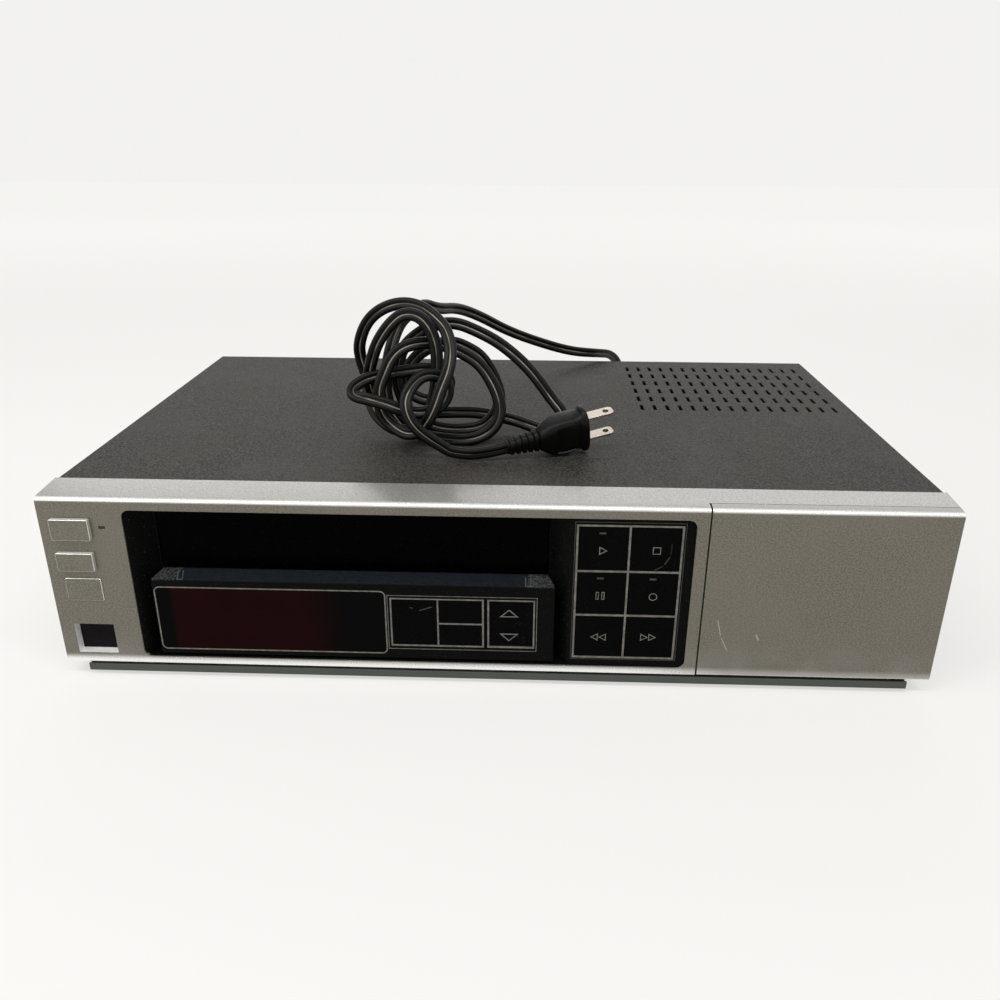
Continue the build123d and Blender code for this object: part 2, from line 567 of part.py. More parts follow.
for label, (x, h) in SET_KEYS.items():
    with BuildPart() as set_key:
        half_x, half_h = SET_KEY_SIZE[0] / 2, SET_KEY_SIZE[1] / 2
        block(x - half_x, x + half_x, TRAY_D - 2.5, TRAY_D + TRAY_T, h - half_h, h + half_h)
        block(x - half_x - 1, x + half_x + 1, TRAY_D + TRAY_T + PIN_FIT, TRAY_D + TRAY_T + 1,
              h - half_h - 1, h + half_h + 1)
        block(x - half_x, x + half_x, TRAY_D, TRAY_D + TRAY_T + 0.5, h - half_h, h + half_h)
        bar_y(x, TRAY_D + TRAY_T, SWITCH_TOP - KEY_TRAVEL - TRAVEL_GAP, h, STEM_R)
    write(set_key, label)

# ---------------------------------------------------------------- front board
BOARD_EDGE = 5.5                   # front board's ends inside the case's width
BOARD_HALF = HALF_W - BOARD_EDGE
BOARD_MID_TOP = SILL_H - 4.0       # the board passes under the cassette holder here
BOARD_TOP = FACE_H - 6.75
BOARD_RIGHT = DISH_RIGHT - 2.2
SWITCH_SIZE = 6.0

with BuildPart() as front_board:
    block(-BOARD_HALF, BOARD_HALF, BOARD_D, BOARD_D + BOARD_T, RIM_H, BOARD_MID_TOP)
    block(BOARD_RIGHT, BOARD_HALF, BOARD_D, BOARD_D + BOARD_T, BOARD_MID_TOP, BOARD_TOP)
    block(-BOARD_HALF, WIN_X[0], BOARD_D, BOARD_D + BOARD_T, BOARD_MID_TOP, BOARD_TOP)
    key_spots = [(mid(c[0]), mid(c[1])) for c in TRANSPORT_CELLS + SMALL_CELLS]
    for x_limits, h_limits in ((POWER_X, POWER_H), (EJECT_X, EJECT_H), (INSTANT_X, INSTANT_H)):
        key_spots.append((mid(x_limits), mid(h_limits)))
    for offset in (-1, 1):
        key_spots.append((mid(CHANNEL_CELL[0]),
                          mid(CHANNEL_CELL[1]) + offset * span(CHANNEL_CELL[1]) / 4))
    key_spots += list(SET_KEYS.values())
    for x, h in key_spots:
        half = SWITCH_SIZE / 2
        block(x - half, x + half, SWITCH_TOP, BOARD_D, h - half, h + half)
    bar_y(KNOB_X, BOARD_D - 1, BOARD_D, KNOB_H, KNOB_R)
    block(SPEED_X - 9, SPEED_X + 9, SWITCH_TOP + 1.5, BOARD_D, SPEED_H - 4, SPEED_H + 4)
write(front_board, "front_board")

# ---------------------------------------------------------------- chassis
FLANGE_W = 12.0
CHASSIS_WALL = 2.5
CHASSIS_TOP = 34.0
CHASSIS_D = (BEZEL_D + FIT, BODY_DEPTH - 4.0)
POST_R = 3.5
MAIN_H = 7.0                       # underside of the main board
POST_INSET = 6.0                   # posts stand this far inside the edges of what they carry
DECK_POSTS = [
    (DECK_X + sign * (DECK_HALF - POST_INSET - 0.5), depth)
    for depth in (DECK_D[0] + POST_INSET, DECK_D[1] - POST_INSET) for sign in (-1, 1)
]
MAIN_HALF = CASE_HALF - 12.7       # half the width of the main board
MAIN_D = (34.0, BODY_DEPTH - 8.5)
MAIN_POSTS = [
    (x, depth)
    for x in (5 - MAIN_HALF, DECK_RIGHT + 12.05, MAIN_HALF - 5)
    for depth in (MAIN_D[0] + 26, MAIN_D[1] - 24.7)
]
PAD_HALF = 6.0                     # half the width of the floor pad under a post
RIB_D = 150.0                      # cross rib of the chassis floor
RIB_HALF = 5.0
SCREW_R = 1.6
SCREW_H = 16.0
SIDE_SCREWS_D = (70.0, 225.0)
REAR_SCREWS_X = (12.5 - HALF_W, 0.0, HALF_W - 12.5)
LIP_H = 12.0

with BuildPart() as chassis_frame:
    inner = CASE_HALF - CHASSIS_WALL
    block(-CASE_HALF, CASE_HALF, *CHASSIS_D, 0, RIM_H)
    block(-CASE_HALF, -inner, *CHASSIS_D, RIM_H - 1, CHASSIS_TOP)
    block(inner, CASE_HALF, *CHASSIS_D, RIM_H - 1, CHASSIS_TOP)
    block(-CASE_HALF, CASE_HALF, CHASSIS_D[1] - CHASSIS_WALL, CHASSIS_D[1], RIM_H - 1, 12)
    left_rib, right_rib = DECK_X - 35, DECK_RIGHT + 12.05
    bays_x = (
        (-inner + FLANGE_W, left_rib - RIB_HALF),
        (left_rib + RIB_HALF, right_rib - RIB_HALF),
        (right_rib + RIB_HALF, inner - FLANGE_W),
    )
    bays_d = (
        (CHASSIS_D[0] + FLANGE_W, RIB_D - RIB_HALF),
        (RIB_D + RIB_HALF, CHASSIS_D[1] - FLANGE_W),
    )
    for x0, x1 in bays_x:
        for d0, d1 in bays_d:
            block(x0, x1, d0, d1, -1, RIM_H + 1, Mode.SUBTRACT)
    for x, depth in DECK_POSTS:
        block(x - PAD_HALF, x + PAD_HALF, depth - PAD_HALF, depth + PAD_HALF, 0, RIM_H)
        post(x, depth, RIM_H - 1, DECK_H, POST_R)
    for x, depth in MAIN_POSTS:
        block(x - PAD_HALF, x + PAD_HALF, depth - PAD_HALF, depth + PAD_HALF, 0, RIM_H)
        post(x, depth, RIM_H - 1, MAIN_H, POST_R)
    for x, _ in DECK_POSTS[:2]:
        block(x - RIB_HALF, x + RIB_HALF, CHASSIS_D[0], CHASSIS_D[1], 0, RIM_H)
    for depth in SIDE_SCREWS_D:
        bar_x(-CASE_HALF - 1, -inner + 1, depth, SCREW_H, SCREW_R + PIN_FIT, Mode.SUBTRACT)
        bar_x(inner - 1, CASE_HALF + 1, depth, SCREW_H, SCREW_R + PIN_FIT, Mode.SUBTRACT)
write(chassis_frame, "chassis_frame")

BOTTOM_INSET = 10.0
BOTTOM_T = 1.2
BOTTOM_D = (8.0, BODY_DEPTH - 5.0)
NOSE_D = 1.0            # folded front edge of the bottom cover, the dark band under the silver face
NOSE_GAP = 1.6
NOSE_DROP = 2.1         # the folded edge hangs this far below the cover's plate
FOOT_X, FOOT_D = HALF_W - 32.5, (34.0, BODY_DEPTH - 33.2)
FOOT_R = 11.0
FOOT_PEG_R = 3.0

with BuildPart() as bottom_cover:
    half = HALF_W - BOTTOM_INSET
    block(-half, half, *BOTTOM_D, -RIM_H, 0)
    block(-half + BOTTOM_T, half - BOTTOM_T, BOTTOM_D[0] + BOTTOM_T, BOTTOM_D[1] - BOTTOM_T,
          BOTTOM_T - RIM_H, 1, Mode.SUBTRACT)
    block(-half, half, NOSE_D, BOTTOM_D[0] + BOTTOM_T / 2, -RIM_H, BOTTOM_T - RIM_H)
    block(-half, half, NOSE_D, NOSE_D + BOTTOM_T, -RIM_H - NOSE_DROP, -NOSE_GAP)
    with Locations((0, back(mid(BOTTOM_D)), up(-RIM_H))):
        with GridLocations(14, 40, 18, 4):
            Box(3, 24, 4 * BOTTOM_T, mode=Mode.SUBTRACT)
    for x in (-FOOT_X, FOOT_X):
        for depth in FOOT_D:
            post(x, depth, -RIM_H - 1, 1, FOOT_PEG_R + PIN_FIT, Mode.SUBTRACT)
write(bottom_cover, "bottom_cover")

with BuildPart() as rubber_feet:
    for x in (-FOOT_X, FOOT_X):
        for depth in FOOT_D:
            with Locations((x, back(depth), FOOT_H / 2)):
                Cone(FOOT_R - 1, FOOT_R, FOOT_H)
            post(x, depth, -RIM_H, BOTTOM_T - RIM_H + 1.5, FOOT_PEG_R)
write(rubber_feet, "rubber_feet")

# ---------------------------------------------------------------- cover
VENT_COLS, VENT_ROWS = 16, 6
VENT_X = (HALF_W - 130.9, HALF_W - 12.2)
VENT_D = (BODY_DEPTH - 117.4, BODY_DEPTH - 22.9)
VENT_SIZE = (2.2, 10.5)

with BuildPart() as top_cover:
    top = FACE_H + TOP_RISE
    low = 0.4
    block(-COVER_HALF, COVER_HALF, BEZEL_D, BODY_DEPTH, low, top)
    fillet(top_cover.edges().filter_by(Axis.Y).group_by(Axis.Z)[-1], 2.0)
    block(-COVER_HALF + COVER_T, COVER_HALF - COVER_T, BEZEL_D - 1, BODY_DEPTH - COVER_T,
          low - 1, top - COVER_T, Mode.SUBTRACT)
    block(-COVER_HALF + COVER_T, COVER_HALF - COVER_T, BODY_DEPTH - COVER_T - 1, BODY_DEPTH + 1,
          low - 1, top - LIP_H, Mode.SUBTRACT)
    with Locations((mid(VENT_X), back(mid(VENT_D)), up(top))):
        pitch = (span(VENT_X) / (VENT_COLS - 1), span(VENT_D) / (VENT_ROWS - 1))
        with GridLocations(*pitch, VENT_COLS, VENT_ROWS):
            Box(*VENT_SIZE, 4 * COVER_T, mode=Mode.SUBTRACT)
    for depth in SIDE_SCREWS_D:
        bar_x(-HALF_W - 1, -COVER_HALF + 3, depth, SCREW_H, SCREW_R + FIT, Mode.SUBTRACT)
        bar_x(COVER_HALF - 3, HALF_W + 1, depth, SCREW_H, SCREW_R + FIT, Mode.SUBTRACT)
    for x in REAR_SCREWS_X:
        bar_y(x, BODY_DEPTH - 3, BODY_DEPTH + 1, top - LIP_H / 2, SCREW_R + FIT, Mode.SUBTRACT)
write(top_cover, "top_cover")

REAR_T = 1.2
REAR_D = BODY_DEPTH - COVER_T - FIT - REAR_T
HEAD_R, HEAD_T = 3.6, 1.6

with BuildPart() as cover_screws:
    for sign in (-1, 1):
        for depth in SIDE_SCREWS_D:
            outer = sign * COVER_HALF
            tip = sign * (CASE_HALF - CHASSIS_WALL - 1.5)
            head = outer + sign * HEAD_T
            bar_x(min(outer, head), max(outer, head), depth, SCREW_H, HEAD_R)
            bar_x(min(outer, tip), max(outer, tip), depth, SCREW_H, SCREW_R)
    for x in REAR_SCREWS_X:
        bar_y(x, BODY_DEPTH, BODY_DEPTH + HEAD_T, FACE_H + TOP_RISE - LIP_H / 2, HEAD_R)
        bar_y(x, REAR_D - 3, BODY_DEPTH, FACE_H + TOP_RISE - LIP_H / 2, SCREW_R)
write(cover_screws, "cover_screws")

# ---------------------------------------------------------------- rear
AERIAL_X = (LEFT + 157.5, LEFT + 132.5)
AERIAL_H = 50.0
AERIAL_R = 4.76
JACK_X = (LEFT + 57.5, LEFT + 75.5, LEFT + 99.5, LEFT + 117.5)
JACK_H = 50.0
JACK_R = 4.15
JACK_PROUD = 9.0
OUTSW_X, OUTSW_H = LEFT + 187.5, 50.0
OUTSW_TRAVEL = 5.0
GLAND_X, GLAND_H = HALF_W - 123.5, 24.0
GLAND_R = 6.5
GLAND_L = 9.0
REAR_OUT = REAR_D + REAR_T

with BuildPart() as rear_panel:
    block(-CASE_HALF, CASE_HALF, REAR_D, REAR_OUT, RIM_H - 3.5, FACE_H + TOP_RISE - COVER_T - FIT)
    for x in AERIAL_X:
        bar_y(x, REAR_D - 1, REAR_OUT + 1, AERIAL_H, AERIAL_R + PIN_FIT, Mode.SUBTRACT)
    for x in JACK_X:
        bar_y(x, REAR_D - 1, REAR_OUT + 1, JACK_H, JACK_R + PIN_FIT, Mode.SUBTRACT)
    block(OUTSW_X - OUTSW_TRAVEL / 2 - 2.2, OUTSW_X + OUTSW_TRAVEL / 2 + 2.2, REAR_D - 1, REAR_OUT + 1,
          OUTSW_H - 1.7, OUTSW_H + 1.7, Mode.SUBTRACT)
    bar_y(GLAND_X, REAR_D - 1, REAR_OUT + 1, GLAND_H, GLAND_R + PIN_FIT, Mode.SUBTRACT)
    for x in REAR_SCREWS_X:
        bar_y(x, REAR_D - 1, REAR_OUT + 1, FACE_H + TOP_RISE - LIP_H / 2, SCREW_R + PIN_FIT, Mode.SUBTRACT)
write(rear_panel, "rear_panel")

TUNER_X = (AERIAL_X[1] - 9.0, OUTSW_X + 10.0)
TUNER_D = (REAR_D - 17.7, REAR_D - 2)
TUNER_H = (AERIAL_H - 20.0, AERIAL_H + 12.0)

with BuildPart() as antenna_connectors:
    for x in AERIAL_X:
        bar_y(x, REAR_OUT, REAR_OUT + 2, AERIAL_H, AERIAL_R + 1.6)
        bar_y(x, TUNER_D[1], BODY_DEPTH + REAR_PROUD, AERIAL_H, AERIAL_R)
        bar_y(x, BODY_DEPTH, BODY_DEPTH + REAR_PROUD + 1, AERIAL_H, 1.2, Mode.SUBTRACT)
write(antenna_connectors, "antenna_connectors")

with BuildPart() as av_jacks:
    for x in JACK_X:
        bar_y(x, REAR_OUT, REAR_OUT + 1.2, JACK_H, JACK_R + 1.5)
        bar_y(x, REAR_D - 3, REAR_OUT + JACK_PROUD, JACK_H, JACK_R)
        bar_y(x, REAR_OUT + 1, REAR_OUT + JACK_PROUD + 1, JACK_H, 1.6, Mode.SUBTRACT)
write(av_jacks, "av_jacks")

with BuildPart() as output_switch:
    x = OUTSW_X - OUTSW_TRAVEL / 2
    block(x - 2, x + 2, TUNER_D[1] + 0.2, REAR_OUT + 2, OUTSW_H - 1.5, OUTSW_H + 1.5)
write(output_switch, "output_switch")

CORD_W = 6.8
with BuildPart() as cord_gland:
    bar_y(GLAND_X, REAR_D - 4, REAR_OUT, GLAND_H, GLAND_R)
    bar_y(GLAND_X, REAR_OUT, REAR_OUT + GLAND_L, GLAND_H, GLAND_R + 1.5)
    fillet(cord_gland.faces().sort_by(Axis.Y)[-1].edges(), 1.5)
    bar_y(GLAND_X, REAR_OUT, REAR_OUT + GLAND_L + 1, GLAND_H, CORD_W / 2 + PIN_FIT, Mode.SUBTRACT)
write(cord_gland, "cord_gland")

# ---------------------------------------------------------------- boards and power
CHIP_H = 4.0
WIDE_CHIP = (18.0, 7.0)            # half the width and depth of the chips under the deck
CHIP = (14.0, 5.0)
WIDE_CHIPS = [(DECK_X - 50.45, 90), (DECK_X + 29.55, 90), (DECK_X - 50.45, 180), (DECK_X + 39.55, 210)]
CHIPS = [
    (DECK_RIGHT + 37.05, 60), (DECK_RIGHT + 77.05, 60), (MAIN_HALF - 53, 60), (DECK_RIGHT + 37.05, 110),
]
CAPACITORS = [                     # place, radius and height of each
    (DECK_RIGHT + 47.05, 160, 9, 32),
    (DECK_RIGHT + 72.05, 160, 9, 32),
    (DECK_RIGHT + 47.05, 190, 6, 20),
    (MAIN_HALF - 13, 90, 5, 14),
    (MAIN_HALF - 33, 100, 5, 14),
]
SINK_X, SINK_D, SINK_H = (DECK_RIGHT + 27.05, DECK_RIGHT + 31.05), (140.0, 230.0), 42.0

with BuildPart() as main_board:
    board_top = MAIN_H + BOARD_T
    block(-MAIN_HALF, MAIN_HALF, *MAIN_D, MAIN_H, board_top)
    for x, depth in DECK_POSTS:
        post(x, depth, MAIN_H - 1, board_top + 1, POST_R + 1, Mode.SUBTRACT)
    for chips, (half_x, half_d) in ((WIDE_CHIPS, WIDE_CHIP), (CHIPS, CHIP)):
        for x, depth in chips:
            block(x - half_x, x + half_x, depth - half_d, depth + half_d, board_top, board_top + CHIP_H)
    for x, depth, radius, height in CAPACITORS:
        post(x, depth, board_top, board_top + height, radius)
    block(*SINK_X, *SINK_D, board_top, board_top + SINK_H)
write(main_board, "main_board")

TRANS_X = (MAIN_HALF - 68.0, MAIN_HALF - 12.0)
TRANS_D = (BODY_DEPTH - 93.2, BODY_DEPTH - 45.2)
with BuildPart() as transformer:
    base = MAIN_H + BOARD_T
    block(*TRANS_X, *TRANS_D, base + 8, base + 38)
    block(TRANS_X[0] + 11, TRANS_X[1] - 11, TRANS_D[0] - 8, TRANS_D[1] + 8, base + 2, base + 44)
    for x in TRANS_X:
        inward = 1 if x < mid(TRANS_X) else -1
        block(min(x, x + 3 * inward), max(x, x + 3 * inward), *TRANS_D, base, base + 8)
write(transformer, "transformer")

with BuildPart() as tuner_module:
    block(*TUNER_X, *TUNER_D, *TUNER_H)
    block(TUNER_X[0] + 4, TUNER_X[0] + 8, TUNER_D[0], TUNER_D[0] + 8, MAIN_H + BOARD_T, TUNER_H[0])
    block(TUNER_X[1] - 8, TUNER_X[1] - 4, TUNER_D[0], TUNER_D[0] + 8, MAIN_H + BOARD_T, TUNER_H[0])
write(tuner_module, "tuner_module")

# ---------------------------------------------------------------- tape deck
DECK_TOP = DECK_H + DECK_T
REEL_D = 98.0
REEL_X = 46.0
REEL_R = 21.0
REEL_SHAFT_R = 3.0
CAPSTAN = (DECK_X + 54, 166.0)
CAPSTAN_R = 2.0
ARM_PIVOT = (DECK_X + 84, 178.0)
ARM_ROLLER = (DECK_X + 68, 158.0)
ROLLER_R = 7.0
GUIDE_START = (30.0, 144.0)
GUIDE_END = (43.0, 184.0)
GUIDE_STEM_R = 2.2
GUIDE_BASE_R = 6.0


def guide_slot(sign):
    """Slot in the deck that a tape guide runs along."""
    x0, d0 = DECK_X + sign * GUIDE_START[0], GUIDE_START[1]
    x1, d1 = DECK_X + sign * GUIDE_END[0], GUIDE_END[1]
    length = math.hypot(x1 - x0, d1 - d0)
    angle = math.degrees(math.atan2(d1 - d0, x1 - x0))
    with BuildSketch(plan(DECK_H - 1)) as slot:
        with Locations(Location(((x0 + x1) / 2, (d0 + d1) / 2), angle)):
            SlotCenterToCenter(length, 2 * (GUIDE_STEM_R + SLIDE_FIT))
    extrude(slot.sketch, amount=DECK_T + 2, mode=Mode.SUBTRACT)


with BuildPart() as deck_plate:
    block(DECK_X - DECK_HALF, DECK_X + DECK_HALF, *DECK_D, DECK_H, DECK_TOP)
    for sign in (-1, 1):
        post(DECK_X + sign * REEL_X, REEL_D, DECK_H - 1, DECK_TOP + 1, REEL_SHAFT_R + PIN_FIT,
             Mode.SUBTRACT)
        guide_slot(sign)
    post(*CAPSTAN, DECK_H - 1, DECK_TOP + 1, CAPSTAN_R + PIN_FIT, Mode.SUBTRACT)
    post(*ARM_PIVOT, DECK_TOP - 0.2, DECK_TOP + 20, 2.0)
    block(DECK_X - 60, DECK_X - 20, 50, 74, DECK_H - 1, DECK_TOP + 1, Mode.SUBTRACT)
    block(DECK_X + 20, DECK_X + 60, 50, 74, DECK_H - 1, DECK_TOP + 1, Mode.SUBTRACT)
write(deck_plate, "deck_plate")

DRUM_PLANE = Plane(origin=(DECK_X, back(DRUM_D), up(DECK_TOP)), x_dir=(1, 0, 0),
                   z_dir=(0, math.sin(math.radians(DRUM_TILT)), math.cos(math.radians(DRUM_TILT))))
LOWER_DRUM = 19.0
UPPER_DRUM = 13.0
DRUM_GAP = 0.3

with BuildPart() as drum_base:
    with BuildSketch(DRUM_PLANE.offset(-8)):
        Circle(DRUM_R)
    extrude(amount=LOWER_DRUM + 8)
    with BuildSketch(DRUM_PLANE.offset(LOWER_DRUM - 1)):
        Circle(3.0)
    extrude(amount=UPPER_DRUM + 4)
    block(DECK_X - 60, DECK_X + 60, DRUM_D - 60, DRUM_D + 60, DECK_TOP - 30, DECK_TOP, Mode.SUBTRACT)
write(drum_base, "drum_base")

with BuildPart() as head_drum:
    with BuildSketch(DRUM_PLANE.offset(LOWER_DRUM + DRUM_GAP)):
        Circle(DRUM_R)
        Circle(3.0 + PIN_FIT, mode=Mode.SUBTRACT)
    extrude(amount=UPPER_DRUM)
    with BuildSketch(DRUM_PLANE.offset(LOWER_DRUM + DRUM_GAP + UPPER_DRUM - 2)):
        Circle(DRUM_R - 4)
        Circle(10, mode=Mode.SUBTRACT)
    extrude(amount=3, mode=Mode.SUBTRACT)
    with BuildSketch(DRUM_PLANE.offset(LOWER_DRUM + DRUM_GAP - 1)):
        with PolarLocations(DRUM_R - 3, 2):
            Rectangle(4, 3)
    extrude(amount=1.8, mode=Mode.SUBTRACT)
write(head_drum, "head_drum")

with BuildPart() as capstan:
    post(*CAPSTAN, DECK_H - 10, DECK_TOP + 26, CAPSTAN_R)
    post(*CAPSTAN, DECK_H - 10, DECK_H - 4, 24)
    for angle in (0, 120, 240):
        dx, dy = 14 * math.cos(math.radians(angle)), 14 * math.sin(math.radians(angle))
        post(CAPSTAN[0] + dx, CAPSTAN[1] + dy, DECK_H - 11, DECK_H - 3, 4, Mode.SUBTRACT)
write(capstan, "capstan")

with BuildPart() as pinch_arm:
    post(*ARM_PIVOT, DECK_TOP + 1, DECK_TOP + 8, 4.5)
    with BuildSketch(plan(DECK_TOP + 1)):
        x0, x1 = ARM_PIVOT[0], ARM_ROLLER[0]
        d0, d1 = ARM_PIVOT[1], ARM_ROLLER[1]
        angle = math.degrees(math.atan2(d1 - d0, x1 - x0))
        with Locations(Location(((x0 + x1) / 2, (d0 + d1) / 2), angle)):
            SlotCenterToCenter(math.hypot(x1 - x0, d1 - d0), 8)
    extrude(amount=2)
    post(*ARM_ROLLER, DECK_TOP + 1, DECK_TOP + 24, 1.5)
    post(*ARM_PIVOT, DECK_TOP - 1, DECK_TOP + 30, 2.0 + PIN_FIT, Mode.SUBTRACT)
write(pinch_arm, "pinch_arm")

with BuildPart() as pinch_roller:
    post(*ARM_ROLLER, DECK_TOP + 4, DECK_TOP + 20, ROLLER_R)
    post(*ARM_ROLLER, DECK_TOP + 3, DECK_TOP + 21, 1.5 + PIN_FIT, Mode.SUBTRACT)
write(pinch_roller, "pinch_roller")


def reel_part(sign, label):
    """Reel table with its three-winged spindle and a shaft through the deck."""
    x = DECK_X + sign * REEL_X
    with BuildPart() as reel:
        post(x, REEL_D, DECK_H - 3, DECK_TOP + 2, REEL_SHAFT_R)
        post(x, REEL_D, DECK_TOP + 0.4, DECK_TOP + 3, REEL_R)
        post(x, REEL_D, DECK_TOP + 3, DECK_TOP + 6, 13)
        post(x, REEL_D, DECK_TOP + 6, DECK_TOP + 20, 6.5)
        with Locations((x, back(REEL_D), up(DECK_TOP + 12))):
            with PolarLocations(0, 3):
                with Locations((7.5, 0, 0)):
                    Box(5, 1.6, 12)
    write(reel, label)


reel_part(-1, "supply_reel")
reel_part(1, "takeup_reel")


def guide_part(sign, label):
    """Tape guide: a roller post on a base that slides along its slot."""
    x, depth = DECK_X + sign * GUIDE_START[0], GUIDE_START[1]
    with BuildPart() as guide:
        post(x, depth, DECK_H - 2, DECK_TOP + 1, GUIDE_STEM_R)
        post(x, depth, DECK_H - 3, DECK_H - 0.2, GUIDE_BASE_R - 1)
        post(x, depth, DECK_TOP + 0.2, DECK_TOP + 4, GUIDE_BASE_R)
        post(x, depth, DECK_TOP + 4, DECK_TOP + 21, 3)
        post(x, depth, DECK_TOP + 21, DECK_TOP + 22.5, 4)
    write(guide, label)


guide_part(-1, "supply_guide")
guide_part(1, "takeup_guide")

# ---------------------------------------------------------------- cassette carriage
HOLDER_HALF = CASSETTE[0] / 2 + BAY_CLEAR
HOLDER_TOP = HOLDER_FLOOR + CASSETTE[2] + 1.4
SLIDER_IN = HOLDER_HALF + SHEET + 0.4
CHEEK_IN = SLIDER_IN + SHEET + 0.4
PIN_R = 1.5
PIN_OUT = CHEEK_IN + CHEEK_T
RUN_D = (58.0, 84.0)
SLIDER_D = (RUN_D[0] - 6.0, RUN_D[1] + 6.0)
SLIDER_H = (HOLDER_FLOOR - DROP - 2, HOLDER_TOP + 4)
LIFT_D = 70.0                      # depth of the holder's lift pins at rest
LIFT_H = HOLDER_FLOOR + 10
RUN_H = HOLDER_TOP + 1.5
CHEEK_D = (40.0, 156.0)
CHEEK_TOP = RUN_H + 5

with BuildPart() as cassette_holder:
    for sign in (-1, 1):
        inner, outer = HOLDER_HALF, HOLDER_HALF + SHEET
        low, high = sorted((DECK_X + sign * inner, DECK_X + sign * outer))
        block(low, high, HOLDER_WALL_D, HOLDER_D[1], HOLDER_FLOOR - SHEET, HOLDER_TOP)
        low, high = sorted((DECK_X + sign * outer, DECK_X + sign * (inner - 20)))
        block(low, high, *HOLDER_D, HOLDER_FLOOR - SHEET, HOLDER_FLOOR)
        low, high = sorted((DECK_X + sign * inner, DECK_X + sign * (PIN_OUT - CHEEK_T - 0.2)))
        bar_x(low, high, LIFT_D, LIFT_H, PIN_R)
    block(DECK_X - HOLDER_HALF - SHEET, DECK_X + HOLDER_HALF + SHEET, HOLDER_WALL_D, HOLDER_D[1],
          HOLDER_TOP - SHEET, HOLDER_TOP)
    block(DECK_X - 60, DECK_X + 60, HOLDER_WALL_D + 12, HOLDER_D[1] - 10, HOLDER_TOP - 2, HOLDER_TOP + 1,
          Mode.SUBTRACT)
write(cassette_holder, "cassette_holder")

with BuildPart() as carriage_slider:
    for sign in (-1, 1):
        low, high = sorted((DECK_X + sign * SLIDER_IN, DECK_X + sign * (SLIDER_IN + SHEET)))
        block(low, high, *SLIDER_D, *SLIDER_H)
        block(low - 1, high + 1, LIFT_D - PIN_R - SLIDE_FIT, LIFT_D + PIN_R + SLIDE_FIT,
              LIFT_H - DROP - PIN_R - SLIDE_FIT, LIFT_H + PIN_R + SLIDE_FIT, Mode.SUBTRACT)
        for depth in RUN_D:
            low, high = sorted((DECK_X + sign * SLIDER_IN, DECK_X + sign * PIN_OUT))
            bar_x(low, high, depth, RUN_H, PIN_R)
    block(DECK_X - SLIDER_IN - SHEET, DECK_X + SLIDER_IN + SHEET, SLIDER_D[1] - 8, SLIDER_D[1],
          SLIDER_H[1] - SHEET, SLIDER_H[1])
write(carriage_slider, "carriage_slider")

with BuildPart() as carriage_frame:
    for sign in (-1, 1):
        low, high = sorted((DECK_X + sign * CHEEK_IN, DECK_X + sign * (CHEEK_IN + CHEEK_T)))
        block(low, high, *CHEEK_D, DECK_TOP, CHEEK_TOP)
        block(low - 1, high + 1, RUN_D[0] - PIN_R - SLIDE_FIT, RUN_D[1] + SLIDE_BACK + PIN_R + SLIDE_FIT,
              RUN_H - PIN_R - SLIDE_FIT, RUN_H + PIN_R + SLIDE_FIT, Mode.SUBTRACT)
        low, high = sorted((DECK_X + sign * (DECK_HALF - 0.5), DECK_X + sign * CHEEK_IN))
        block(low, high, CHEEK_D[0], CHEEK_D[1], DECK_TOP, DECK_TOP + SHEET)
    block(DECK_X - CHEEK_IN - CHEEK_T, DECK_X + CHEEK_IN + CHEEK_T, CHEEK_D[0], CHEEK_D[0] + 8,
          CHEEK_TOP - SHEET, CHEEK_TOP)
    block(DECK_X - CHEEK_IN - CHEEK_T, DECK_X + CHEEK_IN + CHEEK_T, CHEEK_D[1] - 8, CHEEK_D[1],
          CHEEK_TOP - SHEET, CHEEK_TOP)
write(carriage_frame, "carriage_frame")

# ---------------------------------------------------------------- mains cord
COVER_H = FACE_H + TOP_RISE        # height of the cover's top above the face's lower edge
LAY = 0.2                          # gap under what lies on the cover
BEND_SHARE = 0.45
PLUG_YAW, PLUG_PITCH, PLUG_ROLL = 18.9, 9.5, 14.0
PLUG_FRONT = (46.0, 72.0, 106.2)
PLUG_L = 44.0
RELIEF_L = 18.0
TAIL_STRAIGHT = 15.0
BLADE_GAP, BLADE_W, BLADE_T, BLADE_L = 12.7, 6.35, 1.5, 16.0


def spot(x, depth, height):
    """Point given by width, depth behind the front plane and height above the face's lower edge."""
    return Vector(x, back(depth), up(height))


def bend_radii(points):
    """Radius of each bend of a cord, as large as its two runs allow."""
    radii = []
    for before, corner, after in zip(points, points[1:], points[2:]):
        run_in, run_out = corner - before, after - corner
        turn = math.radians(run_in.get_angle(run_out))
        radii.append(BEND_SHARE * min(run_in.length, run_out.length) / math.tan(turn / 2))
    return radii


def plug_frame():
    """Plane across the plug's front face, with its blades one above the other."""
    yaw, pitch, roll = (math.radians(a) for a in (PLUG_YAW, PLUG_PITCH, PLUG_ROLL))
    along = Vector(math.cos(yaw) * math.cos(pitch), math.sin(yaw) * math.cos(pitch), math.sin(pitch))
    toward = Vector(math.sin(yaw), -math.cos(yaw), 0)
    blades_line = toward.cross(along) * math.cos(roll) + toward * math.sin(roll)
    return Plane(origin=spot(*PLUG_FRONT), x_dir=blades_line.cross(along), z_dir=along)


PLUG = plug_frame()
RELIEF_END = PLUG.from_local_coords(Vector(0, 0, -PLUG_L))

